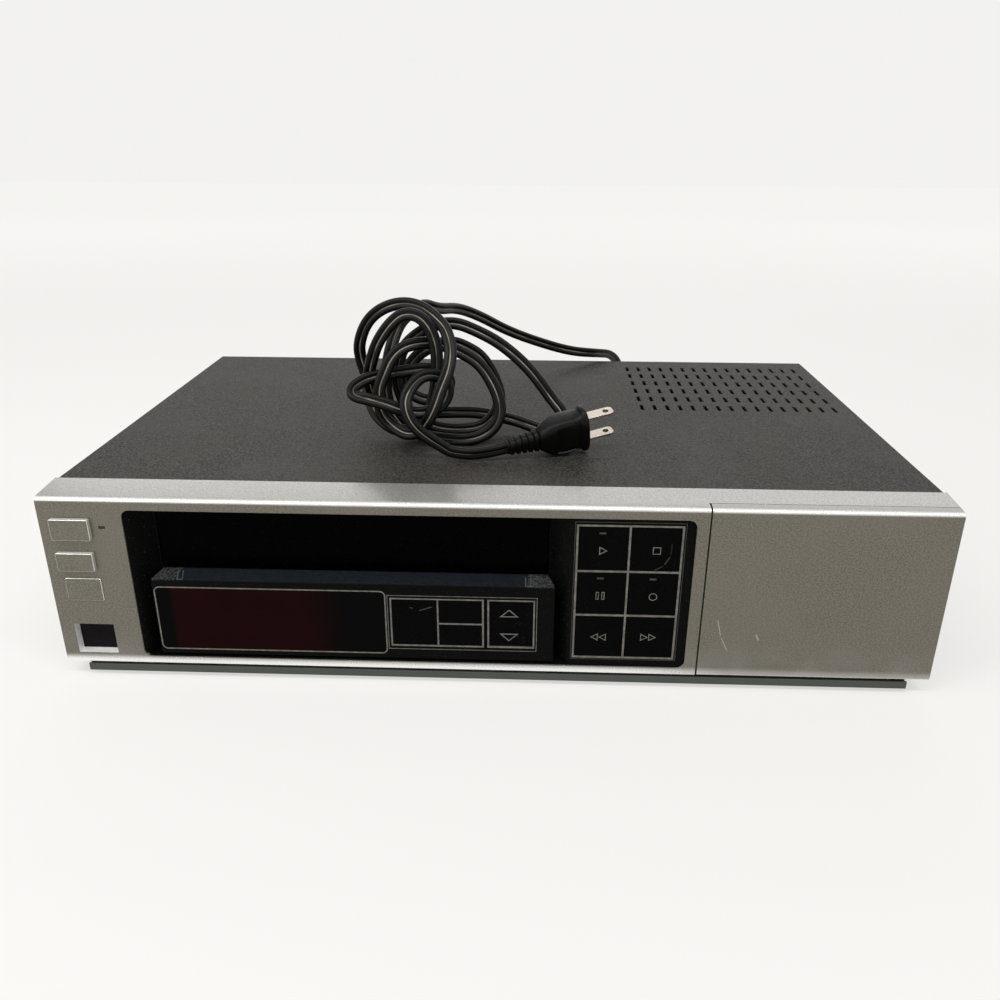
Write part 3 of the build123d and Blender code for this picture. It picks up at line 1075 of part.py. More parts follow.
LEAD_ROUTE = [
    spot(GLAND_X, REAR_OUT + 2, GLAND_H),
    spot(GLAND_X, 292, GLAND_H),
    spot(93, 307, 38),
    spot(91, 311, 58),
    spot(87, 303, 79),
    spot(78, 288, 95.5),
    spot(61, 272, 100.5),
    spot(40, 258, 105),
    spot(18, 240, 115),
    spot(-1, 218, 127),
    spot(-16, 196, 140),
    spot(-29, 172, 150),
    spot(-38, 145, 154),
]
TAIL_ROUTE = [
    spot(-38, 68, 96.6),
    spot(-24, 57, 96.3),
    PLUG.from_local_coords(Vector(0, 0, -PLUG_L - TAIL_STRAIGHT)),
    RELIEF_END,
]

for label, points in (("power_cord", LEAD_ROUTE), ("cord_tail", TAIL_ROUTE)):
    radii = bend_radii(points)
    print(label, "bend radii", [round(radius, 1) for radius in radii])
    with BuildPart() as tube:
        with BuildLine() as path:
            FilletPolyline(*points, radius=radii)
        with BuildSketch(Plane(origin=points[0], z_dir=points[1] - points[0])):
            Circle(CORD_W / 2)
        sweep()
    length = sum(edge.length for edge in path.edges())
    expected = math.pi * (CORD_W / 2) ** 2 * length
    print(label, "length", round(length), "volume", round(tube.part.volume), "expected", round(expected))
    write(tube, label)

TANGLE = ((-30, 108, 0, 60, 44), (-42, 110, 34, 50, 38), (-52, 120, 68, 26, 24))
with BuildPart() as cord_tangle:
    for x, depth, height, radius_x, radius_d in TANGLE:
        with BuildSketch(plan(COVER_H + LAY + height)):
            with Locations((x, depth)):
                Ellipse(radius_x, radius_d)
    loft()
write(cord_tangle, "cord_tangle")

with BuildPart() as plug_body:
    with BuildSketch(PLUG):
        RectangleRounded(17, 26, 7)
    extrude(amount=-3)
    with BuildSketch(PLUG.offset(-3)):
        RectangleRounded(14, 22, 5)
    with BuildSketch(PLUG.offset(RELIEF_L - PLUG_L)):
        RectangleRounded(12, 15, 5)
    loft()
    with BuildSketch(PLUG.offset(RELIEF_L - PLUG_L)):
        Circle(5.5)
    with BuildSketch(PLUG.offset(-PLUG_L)):
        Circle(4.2)
    loft()
    for step in range(4):
        with BuildSketch(PLUG.offset(-PLUG_L + 3 + 4 * step)):
            Circle(7)
            Circle(3.6 + 0.3 * step, mode=Mode.SUBTRACT)
        extrude(amount=1.6, mode=Mode.SUBTRACT)
write(plug_body, "plug_body")
print("plug lowest above cover", round(plug_body.part.bounding_box().min.Z - up(COVER_H), 2))

with BuildPart() as plug_blades:
    with BuildSketch(PLUG.offset(0)):
        with GridLocations(0, BLADE_GAP, 1, 2):
            Rectangle(BLADE_W, BLADE_T)
    extrude(amount=BLADE_L)
    fillet(plug_blades.edges().group_by(SortBy.LENGTH)[0], BLADE_W / 3)
    with Locations(PLUG.offset(BLADE_L - 4)):
        with Locations(Location((0, 0, 0), (90, 0, 0))):
            Cylinder(1.6, 2 * BLADE_GAP, mode=Mode.SUBTRACT)
write(plug_blades, "plug_blades")
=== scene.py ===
# %% [markdown]
# A front-loading video cassette recorder with its mains cord heaped on the lid.
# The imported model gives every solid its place. This lesson dresses those solids: it adds
# paint, soft edges, key marks and a real cord, and changes no size.

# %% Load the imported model
import json
import math

import bmesh
import bpy
from mathutils import Matrix, Vector


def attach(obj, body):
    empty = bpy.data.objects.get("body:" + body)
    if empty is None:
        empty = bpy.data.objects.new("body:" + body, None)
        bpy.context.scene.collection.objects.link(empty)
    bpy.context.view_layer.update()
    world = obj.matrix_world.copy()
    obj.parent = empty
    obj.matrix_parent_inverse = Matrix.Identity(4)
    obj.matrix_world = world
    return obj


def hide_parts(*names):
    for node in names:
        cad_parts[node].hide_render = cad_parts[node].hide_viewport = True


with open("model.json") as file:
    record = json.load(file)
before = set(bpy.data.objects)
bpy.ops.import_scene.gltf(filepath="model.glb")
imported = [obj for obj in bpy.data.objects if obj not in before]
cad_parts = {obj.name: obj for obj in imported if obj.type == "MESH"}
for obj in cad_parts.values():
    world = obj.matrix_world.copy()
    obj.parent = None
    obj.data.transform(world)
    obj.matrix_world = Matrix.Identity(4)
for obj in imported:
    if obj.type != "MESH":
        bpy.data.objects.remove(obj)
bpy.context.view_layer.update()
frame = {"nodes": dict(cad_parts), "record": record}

nodes = frame["nodes"]

# %% [markdown]
# Sizes on the real front are easiest to give in millimetres from the silver face: a width
# from the middle, a depth behind the front plane, and a height above the face's lower edge.

# %% Places in the recorder's own measures
MM = 0.001
FRONT = -140.85          # the front plane, on the Y axis
FACE_FOOT = 8.0          # the silver face starts this far above the table


def place(x, depth, height):
    """Point in metres from a width, a depth and a height in millimetres."""
    return Vector((x, FRONT + depth, FACE_FOOT + height)) * MM


# %% [markdown]
# The camera comes first, because the cord has to lie where it sees it. It stands just right
# of the middle, looks a little to the left, and down by 23 degrees. Its matrix could come
# from Euler angles. It is built from three directions, which keeps the small roll exact.

# %% Camera
scene = bpy.context.scene
scene.view_settings.view_transform = "Standard"

PITCH, YAW, ROLL = math.radians(22.852), math.radians(-1.8985), math.radians(0.2609)
CAMERA_SPOT = (0.01609, -0.51997, 0.26163)
LENS, SENSOR = 31.94, 36.0
ahead = Vector((math.sin(YAW) * math.cos(PITCH), math.cos(YAW) * math.cos(PITCH), -math.sin(PITCH)))
level = Vector((math.cos(YAW), -math.sin(YAW), 0))
above = level.cross(ahead)
right = math.cos(ROLL) * level + math.sin(ROLL) * above
upward = right.cross(ahead)

lens = bpy.data.cameras.new("camera")
lens.lens, lens.sensor_width = LENS, SENSOR
lens.clip_start, lens.clip_end = 0.01, 20
camera = bpy.data.objects.new("camera", lens)
camera.matrix_world = Matrix.Translation(CAMERA_SPOT) @ Matrix(
    (right, upward, -ahead)).transposed().to_4x4()
scene.collection.objects.link(camera)
scene.camera = camera
print("camera", [round(v, 3) for v in camera.matrix_world.translation])

# %% [markdown]
# Shader maths reads best as plain arithmetic. A Wire is one output socket, and adding or
# multiplying it adds the Math node. Nodes holds one method that makes any node from its
# type, its settings and what its sockets get. A Finish is one material made that way, and
# it knows how painted, moulded and scratched surfaces are put together.


# %% Finishes
class Wire:
    """One shader output that can be used in arithmetic."""

    def __init__(self, finish, socket):
        self.finish, self.socket = finish, socket

    def math(self, operation, first, second):
        return self.finish.node("ShaderNodeMath", {"operation": operation}, {0: first, 1: second})

    def __add__(self, other):
        return self.math("ADD", self, other)

    def __sub__(self, other):
        return self.math("SUBTRACT", self, other)

    def __rsub__(self, other):
        return self.math("SUBTRACT", other, self)

    def __mul__(self, other):
        return self.math("MULTIPLY", self, other)

    def __pow__(self, other):
        return self.math("POWER", self, other)

    __radd__ = __add__
    __rmul__ = __mul__

    def band(self, start, end):
        """0 below start, 1 above end, smooth between."""
        return self.finish.node(
            "ShaderNodeMapRange", {"interpolation_type": "SMOOTHSTEP"},
            {"Value": self, "From Min": start, "From Max": end})

    def axis(self, letter):
        """One axis of a vector."""
        return self.finish.node("ShaderNodeSeparateXYZ", {}, {0: self}, "XYZ".index(letter))


class Nodes:
    """Makes nodes in one tree."""

    def __init__(self, tree):
        self.tree = tree

    def node(self, kind, settings=None, sockets=None, output=0):
        """One output of a new node, whose sockets get values or links."""
        made = self.tree.nodes.new(kind)
        for name, value in (settings or {}).items():
            setattr(made, name, value)
        for key, value in (sockets or {}).items():
            if isinstance(value, Wire):
                self.tree.links.new(value.socket, made.inputs[key])
            else:
                made.inputs[key].default_value = value
        return Wire(self, made.outputs[output])

    def seen(self):
        """1 for rays from the lens, off a mirror or through glass, and 0 for the rest."""
        most = self.node("ShaderNodeLightPath", output="Is Camera Ray")
        outputs = most.socket.node.outputs
        for name in ("Is Glossy Ray", "Is Transmission Ray"):
            most = most.math("MAXIMUM", most, Wire(self, outputs[name]))
        return most


class Finish(Nodes):
    """A material built round one Principled shader, on Object coordinates."""

    def __init__(self, name, **steady):
        self.material = bpy.data.materials.new(name)
        self.material.use_nodes = True
        super().__init__(self.material.node_tree)
        self.shader = self.tree.nodes["Principled BSDF"]
        for socket, value in steady.items():
            self.shader.inputs[socket.replace("_", " ")].default_value = value
        self.at = self.node("ShaderNodeTexCoord", output="Object")

    def toward_front(self):
        """1 where a surface faces the front, 0 on the lid and sides, and less behind."""
        return 0 - self.node("ShaderNodeTexCoord", output="Normal").axis("Y")

    def noise(self, size, detail=2.0, stretch=(1, 1, 1), turn=(0, 0, 0), shift=(0, 0, 0)):
        """Cloudy noise whose lumps are about size millimetres wide."""
        placed = self.node("ShaderNodeMapping", {}, {
            "Vector": self.at, "Location": shift, "Rotation": turn, "Scale": stretch})
        return self.node("ShaderNodeTexNoise", {}, {
            "Vector": placed, "Scale": 1 / (size * MM), "Detail": detail})

    def scratches(self, size, share, turn=(0, 0, 0), shift=(0, 0, 0), length=40):
        """Thin marks, from noise that is long in one direction."""
        lines = self.noise(size, 1.0, (1 / length, 1, 1), turn, shift)
        patches = self.noise(size * 30, 1.0, shift=shift)
        return lines.band(1 - share, 1 - share + 0.03) * patches.band(0.48, 0.62)

    def mark(self, start, end, width=0.5):
        """One scratch on the front, between two points given as width and height."""
        (x0, h0), (x1, h1) = start, end
        run = math.hypot(x1 - x0, h1 - h0)
        ux, uz = (x1 - x0) / run, (h1 - h0) / run
        across = self.at.axis("X") - x0 * MM
        up = self.at.axis("Z") - (FACE_FOOT + h0) * MM
        off = (across * uz - up * ux) ** 2
        along = across * ux + up * uz
        thin = 1 - off.band((width * 0.25 * MM) ** 2, (width * 0.6 * MM) ** 2)
        return thin * along.band(0, 1.5 * MM) * (1 - along.band((run - 1.5) * MM, run * MM))

    def blend(self, factor, first, second):
        """Colour between two colours."""
        return self.node("ShaderNodeMix", {"data_type": "RGBA"}, {0: factor, 6: first, 7: second}, 2)

    def set(self, **sockets):
        """Link or set sockets of the shader."""
        for name, value in sockets.items():
            socket = self.shader.inputs[name.replace("_", " ")]
            if isinstance(value, Wire):
                self.tree.links.new(value.socket, socket)
            else:
                socket.default_value = value
        return self.material

    def bump(self, height, distance, strength=1.0):
        """Surface relief of a depth in millimetres."""
        return self.node("ShaderNodeBump", {}, {
            "Height": height, "Distance": distance * MM, "Strength": strength})


def grey(value, warm=0.0):
    """Near-neutral colour, slightly warm or cool."""
    return (value * (1 + warm), value, value * (1 - warm), 1)


# %% [markdown]
# The mains cord is one flat two-core lead, 6.8 mm wide and about 1.65 m long. It leaves the gland at the
# back, climbs over the rear edge and falls into a springy heap of loops. A simulated rope would fall flat,
# so its line is given point by point as a NURBS spline. Each loop has a dozen points or more, and the
# strands keep about the cord's width apart.

# %% The cord's line
CORD_WIDTH, CORD_THICK = 6.8, 3.4
PLUG_FRONT = place(46.0, 72.0, 106.2)
PLUG_LONG, TAIL_STRAIGHT = 44.0, 15.0
PLUG_TURN, PLUG_LIFT, PLUG_LEAN = 18.9, 9.5, 14.0
yaw, pitch, roll = (math.radians(a) for a in (PLUG_TURN, PLUG_LIFT, PLUG_LEAN))
plug_ahead = Vector((math.cos(yaw) * math.cos(pitch), math.sin(yaw) * math.cos(pitch), math.sin(pitch)))
plug_toward = Vector((math.sin(yaw), -math.cos(yaw), 0))
plug_tall = plug_toward.cross(plug_ahead) * math.cos(roll) + plug_toward * math.sin(roll)
plug_thin = plug_tall.cross(plug_ahead)
PLUG = Matrix((plug_thin, plug_tall, plug_ahead)).transposed().to_4x4()
PLUG.translation = PLUG_FRONT
relief_end = PLUG @ Vector((0, 0, -PLUG_LONG * MM))

LEAD = [                # from the gland at the back, over the rear edge
    (94, 273.9, 24), (94, 292, 24), (93, 307, 38), (91, 311, 58), (87, 303, 79), (79, 288, 94.5),
    (65, 273, 98.5), (45, 259, 103), (18, 240, 115), (-1, 218, 127), (-16, 196, 140),
    (-29, 172, 150), (-38, 145, 154),
]
HEAP = [
    # down the inner left side
    (-45, 130, 160), (-51, 119, 157), (-56, 111, 153), (-59, 105, 146), (-61, 99, 138),
    (-62, 96, 130), (-63, 93, 121), (-62, 92, 113), (-59, 92, 105), (-54, 91, 99), (-46, 89, 96),
    # round the right-hand loop
    (-38, 85, 95), (-28, 81, 95), (-18, 80, 95), (-9, 81, 97), (-2, 83, 102), (1, 86, 110),
    (-1, 89, 119), (-6, 92, 128), (-12, 95, 135), (-21, 96, 140), (-30, 95, 144), (-38, 93, 146),
    (-46, 90, 146), (-53, 86, 144), (-58, 83, 139), (-61, 80, 132), (-64, 78, 125), (-64, 76, 117),
    (-62, 74, 110), (-56, 71, 105), (-49, 68, 102),
    # over the tall outer loop
    (-42, 65, 104), (-37, 64, 110), (-33, 64, 118), (-30, 67, 127), (-26, 72, 136), (-25, 79, 145),
    (-28, 87, 154), (-34, 94, 159), (-43, 101, 164), (-54, 106, 165), (-66, 109, 161),
    (-75, 111, 153), (-80, 112, 141), (-80, 114, 132), (-77, 114, 122), (-76, 111, 114),
    (-74, 105, 109), (-70, 97, 104), (-63, 88, 101), (-56, 81, 100),
    # over the loop inside it
    (-48, 78, 101), (-40, 77, 104), (-37, 79, 112), (-34, 82, 123), (-33, 85, 136), (-34, 86, 148),
    (-38, 87, 157), (-44, 88, 162), (-52, 89, 162), (-59, 89, 156), (-66, 90, 146), (-70, 91, 135),
    (-72, 92, 126), (-71, 95, 117),
    # along the lid behind
    (-67, 98, 110), (-57, 101, 105), (-43, 104, 103), (-29, 106, 103), (-14, 107, 103),
    (0, 105, 101), (11, 103, 99), (21, 100, 96), (29, 98, 95), (35, 98, 96), (37, 99, 101),
    # up the long arc and round
    (34, 101, 107), (29, 104, 112), (23, 106, 120), (16, 109, 128), (7, 111, 136), (-3, 113, 143),
    (-14, 115, 148), (-24, 115, 152), (-33, 115, 152), (-41, 113, 150), (-49, 111, 145),
    (-55, 108, 139), (-57, 105, 131), (-58, 101, 123), (-55, 98, 114), (-50, 95, 106),
    (-41, 93, 100), (-31, 93, 97), (-20, 93, 97), (-10, 95, 98), (-3, 97, 104), (0, 100, 111),
    (-1, 102, 119), (-5, 104, 128), (-11, 106, 136), (-18, 107, 140), (-25, 107, 143),
    (-33, 106, 143),
    # out to the left and round the front
    (-41, 104, 140), (-48, 101, 135), (-52, 97, 128), (-52, 94, 120), (-45, 92, 115),
    (-36, 91, 114), (-29, 92, 119), (-27, 93, 126), (-32, 93, 130), (-40, 92, 132), (-49, 91, 131),
    (-58, 89, 130), (-66, 86, 129), (-73, 81, 128), (-78, 76, 125), (-77, 71, 122), (-69, 69, 121),
    (-60, 68, 119), (-51, 69, 115), (-41, 70, 113), (-32, 73, 115), (-27, 76, 121), (-27, 77, 128),
    (-33, 76, 133), (-40, 73, 133), (-45, 68, 129), (-48, 63, 123), (-47, 59, 117), (-43, 57, 110),
    (-36, 57, 104), (-28, 57, 99),
]
TAIL = [place(-24, 57, 96.3), PLUG @ Vector((0, 0, -(PLUG_LONG + TAIL_STRAIGHT) * MM)), relief_end]
route = [place(*point) for point in LEAD + HEAP] + TAIL

line_data = bpy.data.curves.new("cord_line", "CURVE")
line_data.dimensions = "3D"
spline = line_data.splines.new("NURBS")
spline.points.add(len(route) - 1)
for point, spot in zip(spline.points, route):
    point.co = (*spot, 1)
spline.order_u = 3
spline.use_endpoint_u = True
spline.resolution_u = 7
line = bpy.data.objects.new("cord_line", line_data)
scene.collection.objects.link(line)
bpy.context.view_layer.update()
path = [v.co.copy() for v in bpy.data.meshes.new_from_object(line).vertices]
bpy.data.objects.remove(line)
run = sum((b - a).length for a, b in zip(path, path[1:]))
print("cord points", len(path), "length in metres", round(run, 3))

# %% [markdown]
# A flat lead shows its broad side on most of the heap, since it was wound up flat. A curve's
# own bevel would twist at tight bends, so the skin is a tube of rings. The width is carried
# along the line and leans at every point toward the direction that shows the broad side,
# which gives the slow twists a real lead has. Two round cores touch along a groove.


# %% The cord's skin
def finished(name, bm, smooth_angle=None):
    """Object from a bmesh, with faces smooth up to an angle in degrees."""
    mesh = bpy.data.meshes.new(name)
    bm.to_mesh(mesh)
    bm.free()
    if smooth_angle is not None:
        mesh.shade_smooth()
        mesh.set_sharp_from_angle(angle=math.radians(smooth_angle))
    made = bpy.data.objects.new(name, mesh)
    scene.collection.objects.link(made)
    return made


def widths_along(points, first, last, viewed, ending=70, lean=0.35, relax=12):
    """Width direction at each point, from the exit's to the plug's."""
    ahead_at = [(b - a).normalized() for a, b in zip(points, points[1:])]
    ahead_at.append(ahead_at[-1])
    wide = [first]
    for tangent in ahead_at[1:]:
        carried = (wide[-1] - tangent * wide[-1].dot(tangent)).normalized()
        across = tangent.cross((viewed - points[len(wide)]).normalized())
        if across.dot(carried) < 0:
            across.negate()
        wide.append((carried + across * lean).normalized())
    if last.dot(wide[-1]) < 0:
        last = -last
    for step in range(ending):
        share = (step + 1) / ending
        here = step - ending
        wide[here] = wide[here].lerp(last, share * share * (3 - 2 * share)).normalized()
    for _ in range(relax):
        wide[1:-1] = [(a + 2 * b + c).normalized() for a, b, c in zip(wide, wide[1:], wide[2:])]
    return [(w - t * w.dot(t)).normalized() for w, t in zip(wide, ahead_at)], ahead_at


CORE_POINTS = 9
CORE_ARC = 304           # degrees of each core that show
core = CORD_THICK / 2
cores = []
for facing in (1, -1):
    for step in range(CORE_POINTS):
        turn = math.radians(CORE_ARC * (step / (CORE_POINTS - 1) - 0.5))
        cores.append((facing * (core + core * math.cos(turn)), facing * core * math.sin(turn)))


def tube(name, points, wide, ahead_at, outline):
    """Mesh that carries an outline along a line, with a UV that runs round it."""
    bm = bmesh.new()
    round_uv = bm.loops.layers.uv.new("round")
    rings = []
    for spot, across, tangent in zip(points, wide, ahead_at):
        thick = tangent.cross(across)
        rings.append([bm.verts.new(spot + (across * u + thick * v) * MM) for u, v in outline])
    count = len(outline)
    for far, (ring, after) in enumerate(zip(rings, rings[1:])):
        for i in range(count):
            face = bm.faces.new((ring[i], ring[(i + 1) % count], after[(i + 1) % count], after[i]))
            for loop, (du, dv) in zip(face.loops, ((0, 0), (1, 0), (1, 1), (0, 1))):
                loop[round_uv].uv = ((i + du) / count, (far + dv) / len(points))
    bm.faces.new(rings[0][::-1])
    bm.faces.new(rings[-1])
    bmesh.ops.recalc_face_normals(bm, faces=bm.faces)
    return finished(name, bm, 75)


wide, ahead_at = widths_along(path, Vector((1, 0, 0)), plug_tall, camera.location)
cord = tube("mains_cord", path, wide, ahead_at, cores)
print("cord faces", len(cord.data.polygons))

# %% [markdown]
# The moulded plug is soft black plastic: an oval front flange that a finger pulls on, a
# block with a square dent on each side, and a ribbed relief that tapers onto the lead. Every
# part is a run of rounded rings joined with bridge_loops. The rings are circles pulled out
# to a squarer outline.


# %% Rings that become a body
def ring(bm, where, half_wide, half_tall, depth, squareness=3.0, points=32):
    """A closed loop of edges: a circle pulled out toward a rectangle, at a depth in mm."""
    made = bmesh.ops.create_circle(bm, cap_ends=False, segments=points, radius=1.0)["verts"]
    power = 2 / squareness
    for vert in made:
        c, s = vert.co.x, vert.co.y
        vert.co = where @ (Vector((
            half_wide * math.copysign(abs(c) ** power, c),
            half_tall * math.copysign(abs(s) ** power, s), depth)) * MM)
    return list({edge for vert in made for edge in vert.link_edges})


def ringed(name, where, stations, smooth_angle=50, points=32):
    """Closed body through a list of rings."""
    bm = bmesh.new()
    loops = [ring(bm, where, *station, points=points) for station in stations]
    for loop, after in zip(loops, loops[1:]):
        bmesh.ops.bridge_loops(bm, edges=loop + after)
    for loop in (loops[0], loops[-1]):
        bmesh.ops.contextual_create(bm, geom=loop)
    bmesh.ops.recalc_face_normals(bm, faces=bm.faces)
    return finished(name, bm, smooth_angle)


# %% The plug
GRIP_LONG = 26.5         # from the flange to the first rib
plug_stations = [
    (7.6, 12.0, -0.0, 2.6), (8.3, 12.8, -0.5, 2.6), (8.5, 13.0, -1.4, 2.6), (8.3, 12.8, -2.6, 2.6),
    (7.4, 11.6, -3.2, 2.8), (7.0, 10.6, -4.2, 3.6), (7.2, 10.7, -8.0, 4.2), (7.3, 10.8, -13.0, 4.4),
    (7.1, 10.3, -18.0, 4.2), (6.4, 8.6, -22.0, 3.6), (5.4, 6.6, -25.0, 3.0), (5.0, 5.6, -GRIP_LONG, 2.8),
]
RIB_COUNT, RIB_TAPER = 5, 0.32
rib_pitch = (PLUG_LONG - GRIP_LONG - 1.0) / RIB_COUNT
rib_shape = ((0.3, 0.80), (0.7, 0.80), (1.0, 1.0), (rib_pitch - 0.6, 0.97), (rib_pitch - 0.3, 0.80))
for rib in range(RIB_COUNT):
    start = -GRIP_LONG - rib * rib_pitch
    swell = 1 - RIB_TAPER * rib / RIB_COUNT
    for offset, grow in rib_shape:
        plug_stations.append((4.6 * swell * grow, 5.9 * swell * grow, start - offset, 2.8))
plug_stations.append((2.6, 3.9, -PLUG_LONG, 2.6))
plug = ringed("plug_moulding", PLUG, plug_stations)
print("plug faces", len(plug.data.polygons))

# %% [markdown]
# A dent for the fingers is a patch of faces pushed in. On the plug it is the large side
# faces between two rings: they are inset, then moved toward the middle.

# %% The finger dents
DENT_SIDE, DENT_ENDS, DENT_HALF = 5.5, (-18.2, -4.0), 8.5
DENT_RIM, DENT_DEPTH = 0.5, 0.9
bm = bmesh.new()
bm.from_mesh(plug.data)
inverse = PLUG.inverted()
for facing in (1, -1):
    dent = []
    for face in bm.faces:
        middle = inverse @ face.calc_center_median() * 1000
        in_length = DENT_ENDS[0] < middle.z < DENT_ENDS[1]
        if facing * middle.x > DENT_SIDE and in_length and abs(middle.y) < DENT_HALF:
            dent.append(face)
    bmesh.ops.inset_region(bm, faces=dent, thickness=DENT_RIM * MM, depth=0, use_even_offset=True)
    for vert in {v for face in dent for v in face.verts}:
        vert.co -= plug_thin * facing * DENT_DEPTH * MM
bm.to_mesh(plug.data)
bm.free()
plug.data.set_sharp_from_angle(angle=math.radians(50))

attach(plug, "base")
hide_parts("plug_body")
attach(cord, "base")
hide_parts("power_cord", "cord_tangle", "cord_tail")
place(94, 273.9, 24)

# %% [markdown]
# The floor is one pale sheet that keeps the recorder's shadow. A narrow soft box hangs above
# the front and draws the bright line on its top edge. A weak one stands to the left, a wide
# one hangs behind and lights the lid, and the pale surroundings light the face. A lamp could
# wash the sheet out to white, but would bleach the recorder too. So the sheet's own colour
# does it, and only for rays that come straight from the lens, off a mirror or through
# glass. Part of what they meet is a steady glow, which grows away from the recorder.


# %% Floor and light
def softbox(name, spot, target, wide, deep, watts):
    """Oblong lamp that faces a point."""
    lamp = bpy.data.lights.new(name, "AREA")
    lamp.shape, lamp.size, lamp.size_y, lamp.energy = "RECTANGLE", wide, deep, watts
    holder = bpy.data.objects.new(name, lamp)
    holder.location = spot
    holder.rotation_euler = (Vector(target) - Vector(spot)).to_track_quat("-Z", "Y").to_euler()
    scene.collection.objects.link(holder)


softbox("softbox_front", (0, -0.62, 1.35), (0, -0.14, 0.1), 1.8, 0.08, 10)
softbox("softbox_left", (-0.9, -0.55, 0.85), (-0.1, 0, 0.05), 0.8, 0.8, 4)
softbox("softbox_behind", (0, 1.9, 1.25), (0, -0.1, 0.1), 3.0, 0.7, 11)

# %% The sheet
FLOOR_HALF = 4.0
GLOW_NEAR, GLOW_MORE = 0.62, 0.25
GLOW_GROWS = (0.7, 2.4)          # metres from the recorder
bm = bmesh.new()
bmesh.ops.create_grid(bm, x_segments=8, y_segments=8, size=FLOOR_HALF)
floor = finished("floor", bm)
paper = Finish("pale_floor", Roughness=0.85)
viewed = paper.seen()
sheet = paper.blend(paper.noise(300, 1.0), (0.50, 0.495, 0.485, 1), (0.53, 0.525, 0.515, 1))
floor.data.materials.append(paper.set(Base_Color=paper.blend(viewed, sheet, (0.93, 0.92, 0.90, 1))))
far = paper.node("ShaderNodeVectorMath", {"operation": "LENGTH"}, {0: paper.at}, "Value").band(*GLOW_GROWS)
glow = paper.node("ShaderNodeEmission", {}, {"Color": (0.98, 0.975, 0.955, 1)})
both = paper.node("ShaderNodeMixShader", {}, {
    0: viewed * (GLOW_NEAR + far * GLOW_MORE), 1: Wire(paper, paper.shader.outputs[0]), 2: glow})
paper.tree.links.new(both.socket, paper.tree.nodes["Material Output"].inputs["Surface"])

# %% The surroundings
AMBIENT = 0.42
world = bpy.data.worlds.new("surroundings")
scene.world = world
world.use_nodes = True
sky = world.node_tree.nodes["Background"]
sky.inputs["Color"].default_value = (0.89, 0.885, 0.87, 1)
air = Nodes(world.node_tree)
strength = air.node("ShaderNodeMapRange", {}, {"Value": air.seen(), "To Min": AMBIENT, "To Max": 1.0})
world.node_tree.links.new(strength.socket, sky.inputs["Strength"])

# %% [markdown]
# Silver paint on a moulded front is fine flakes in a clear coat. The flakes lie flat on the face, where
# the paint is dull and warm. The rolls, the top strip, the recess walls and the edges that stand proud get
# paler, more metallic paint: a painted highlight and sheen. One could paint each by hand, but the
# surface's own normal tells them apart. The foot of the face and its lower lip, up to the door, get the
# palest paint, also a painted highlight.

# %% Silver paint
silver = Finish("silver_paint", Coat_Weight=0.4, Coat_Roughness=0.15)
flakes = silver.noise(0.8, 2.0)
clouds = silver.noise(55, 3.0)
toward = silver.toward_front()
# Faces turned away from the front, and the rolls among them: masks for the painted highlight and sheen
# below.
away = 1 - toward.band(0.84, 0.975)
roll_highlight = away * toward.band(0.10, 0.45)
height = silver.at.axis("Z")
# The lower lip, weaker on the door, gets the palest, most metallic paint: a painted highlight.
lip_highlight = 1 - height.band(9.5 * MM, 13.5 * MM)
lip_highlight = lip_highlight * (1 - silver.at.axis("X").band(60 * MM, 130 * MM) * 0.7) * toward.band(0, 0.3)
paint = silver.blend(flakes.band(0.3, 0.7), (0.120, 0.106, 0.079, 1), (0.222, 0.199, 0.154, 1))
paint = silver.blend(clouds.band(0.35, 0.7) * 0.5, paint, (0.200, 0.184, 0.149, 1))
# Paler paint for faces turned away from the front, the top strip and recess walls: painted sheen.
thin = silver.blend(flakes.band(0.3, 0.7), (0.23, 0.222, 0.204, 1), (0.345, 0.334, 0.31, 1))
paint = silver.blend(away, paint, thin)
# Rolls and edges standing proud of the face get near-white paint: painted highlight.
proud = away * (1 - silver.at.axis("Y").band((FRONT - 0.25) * MM, (FRONT + 0.05) * MM))
paint = silver.blend(roll_highlight + proud * 0.8, paint, (0.80, 0.79, 0.76, 1))
# Paler paint in patches near the foot of the face: painted highlight.
foot_highlight = (1 - height.band(9 * MM, 30 * MM)) * silver.noise(16, 2.0).band(0.3, 0.7) * 0.35
paint = silver.blend(foot_highlight, paint, (0.32, 0.31, 0.285, 1))
paint = silver.blend(lip_highlight, paint, (0.97, 0.96, 0.94, 1))
rubbed = silver.scratches(0.35, 0.22, (0, 0.5, 0), (0.3, 0, 0.1)) * 0.25
paint = silver.blend(rubbed, paint, (0.5, 0.49, 0.47, 1))
knocks = silver.mark((109.8, 33.0), (112.3, 22.8)) + silver.mark((112.3, 22.8), (116.4, 14.5))
knocks = knocks + silver.mark((129.0, 25.0), (131.2, 20.5), 0.8)
paint = silver.blend(knocks * 0.5, paint, (0.62, 0.61, 0.58, 1))
SILVER = silver.set(Base_Color=paint, Metallic=0.35 + roll_highlight * 0.45 + lip_highlight * 0.6 - clouds * 0.1,
                    Roughness=0.30 + flakes * 0.1 - roll_highlight * 0.08 - lip_highlight * 0.1,
                    Normal=silver.bump(flakes, 0.006, 0.4))

# %% [markdown]
# The steel lid has a baked textured paint, a warm dark grey with a grain of about a
# millimetre. An image of it would repeat and blur, so noise makes it. Brown patches, dust
# and long light scuffs lie over the grain, and the grain goes into the relief as well.

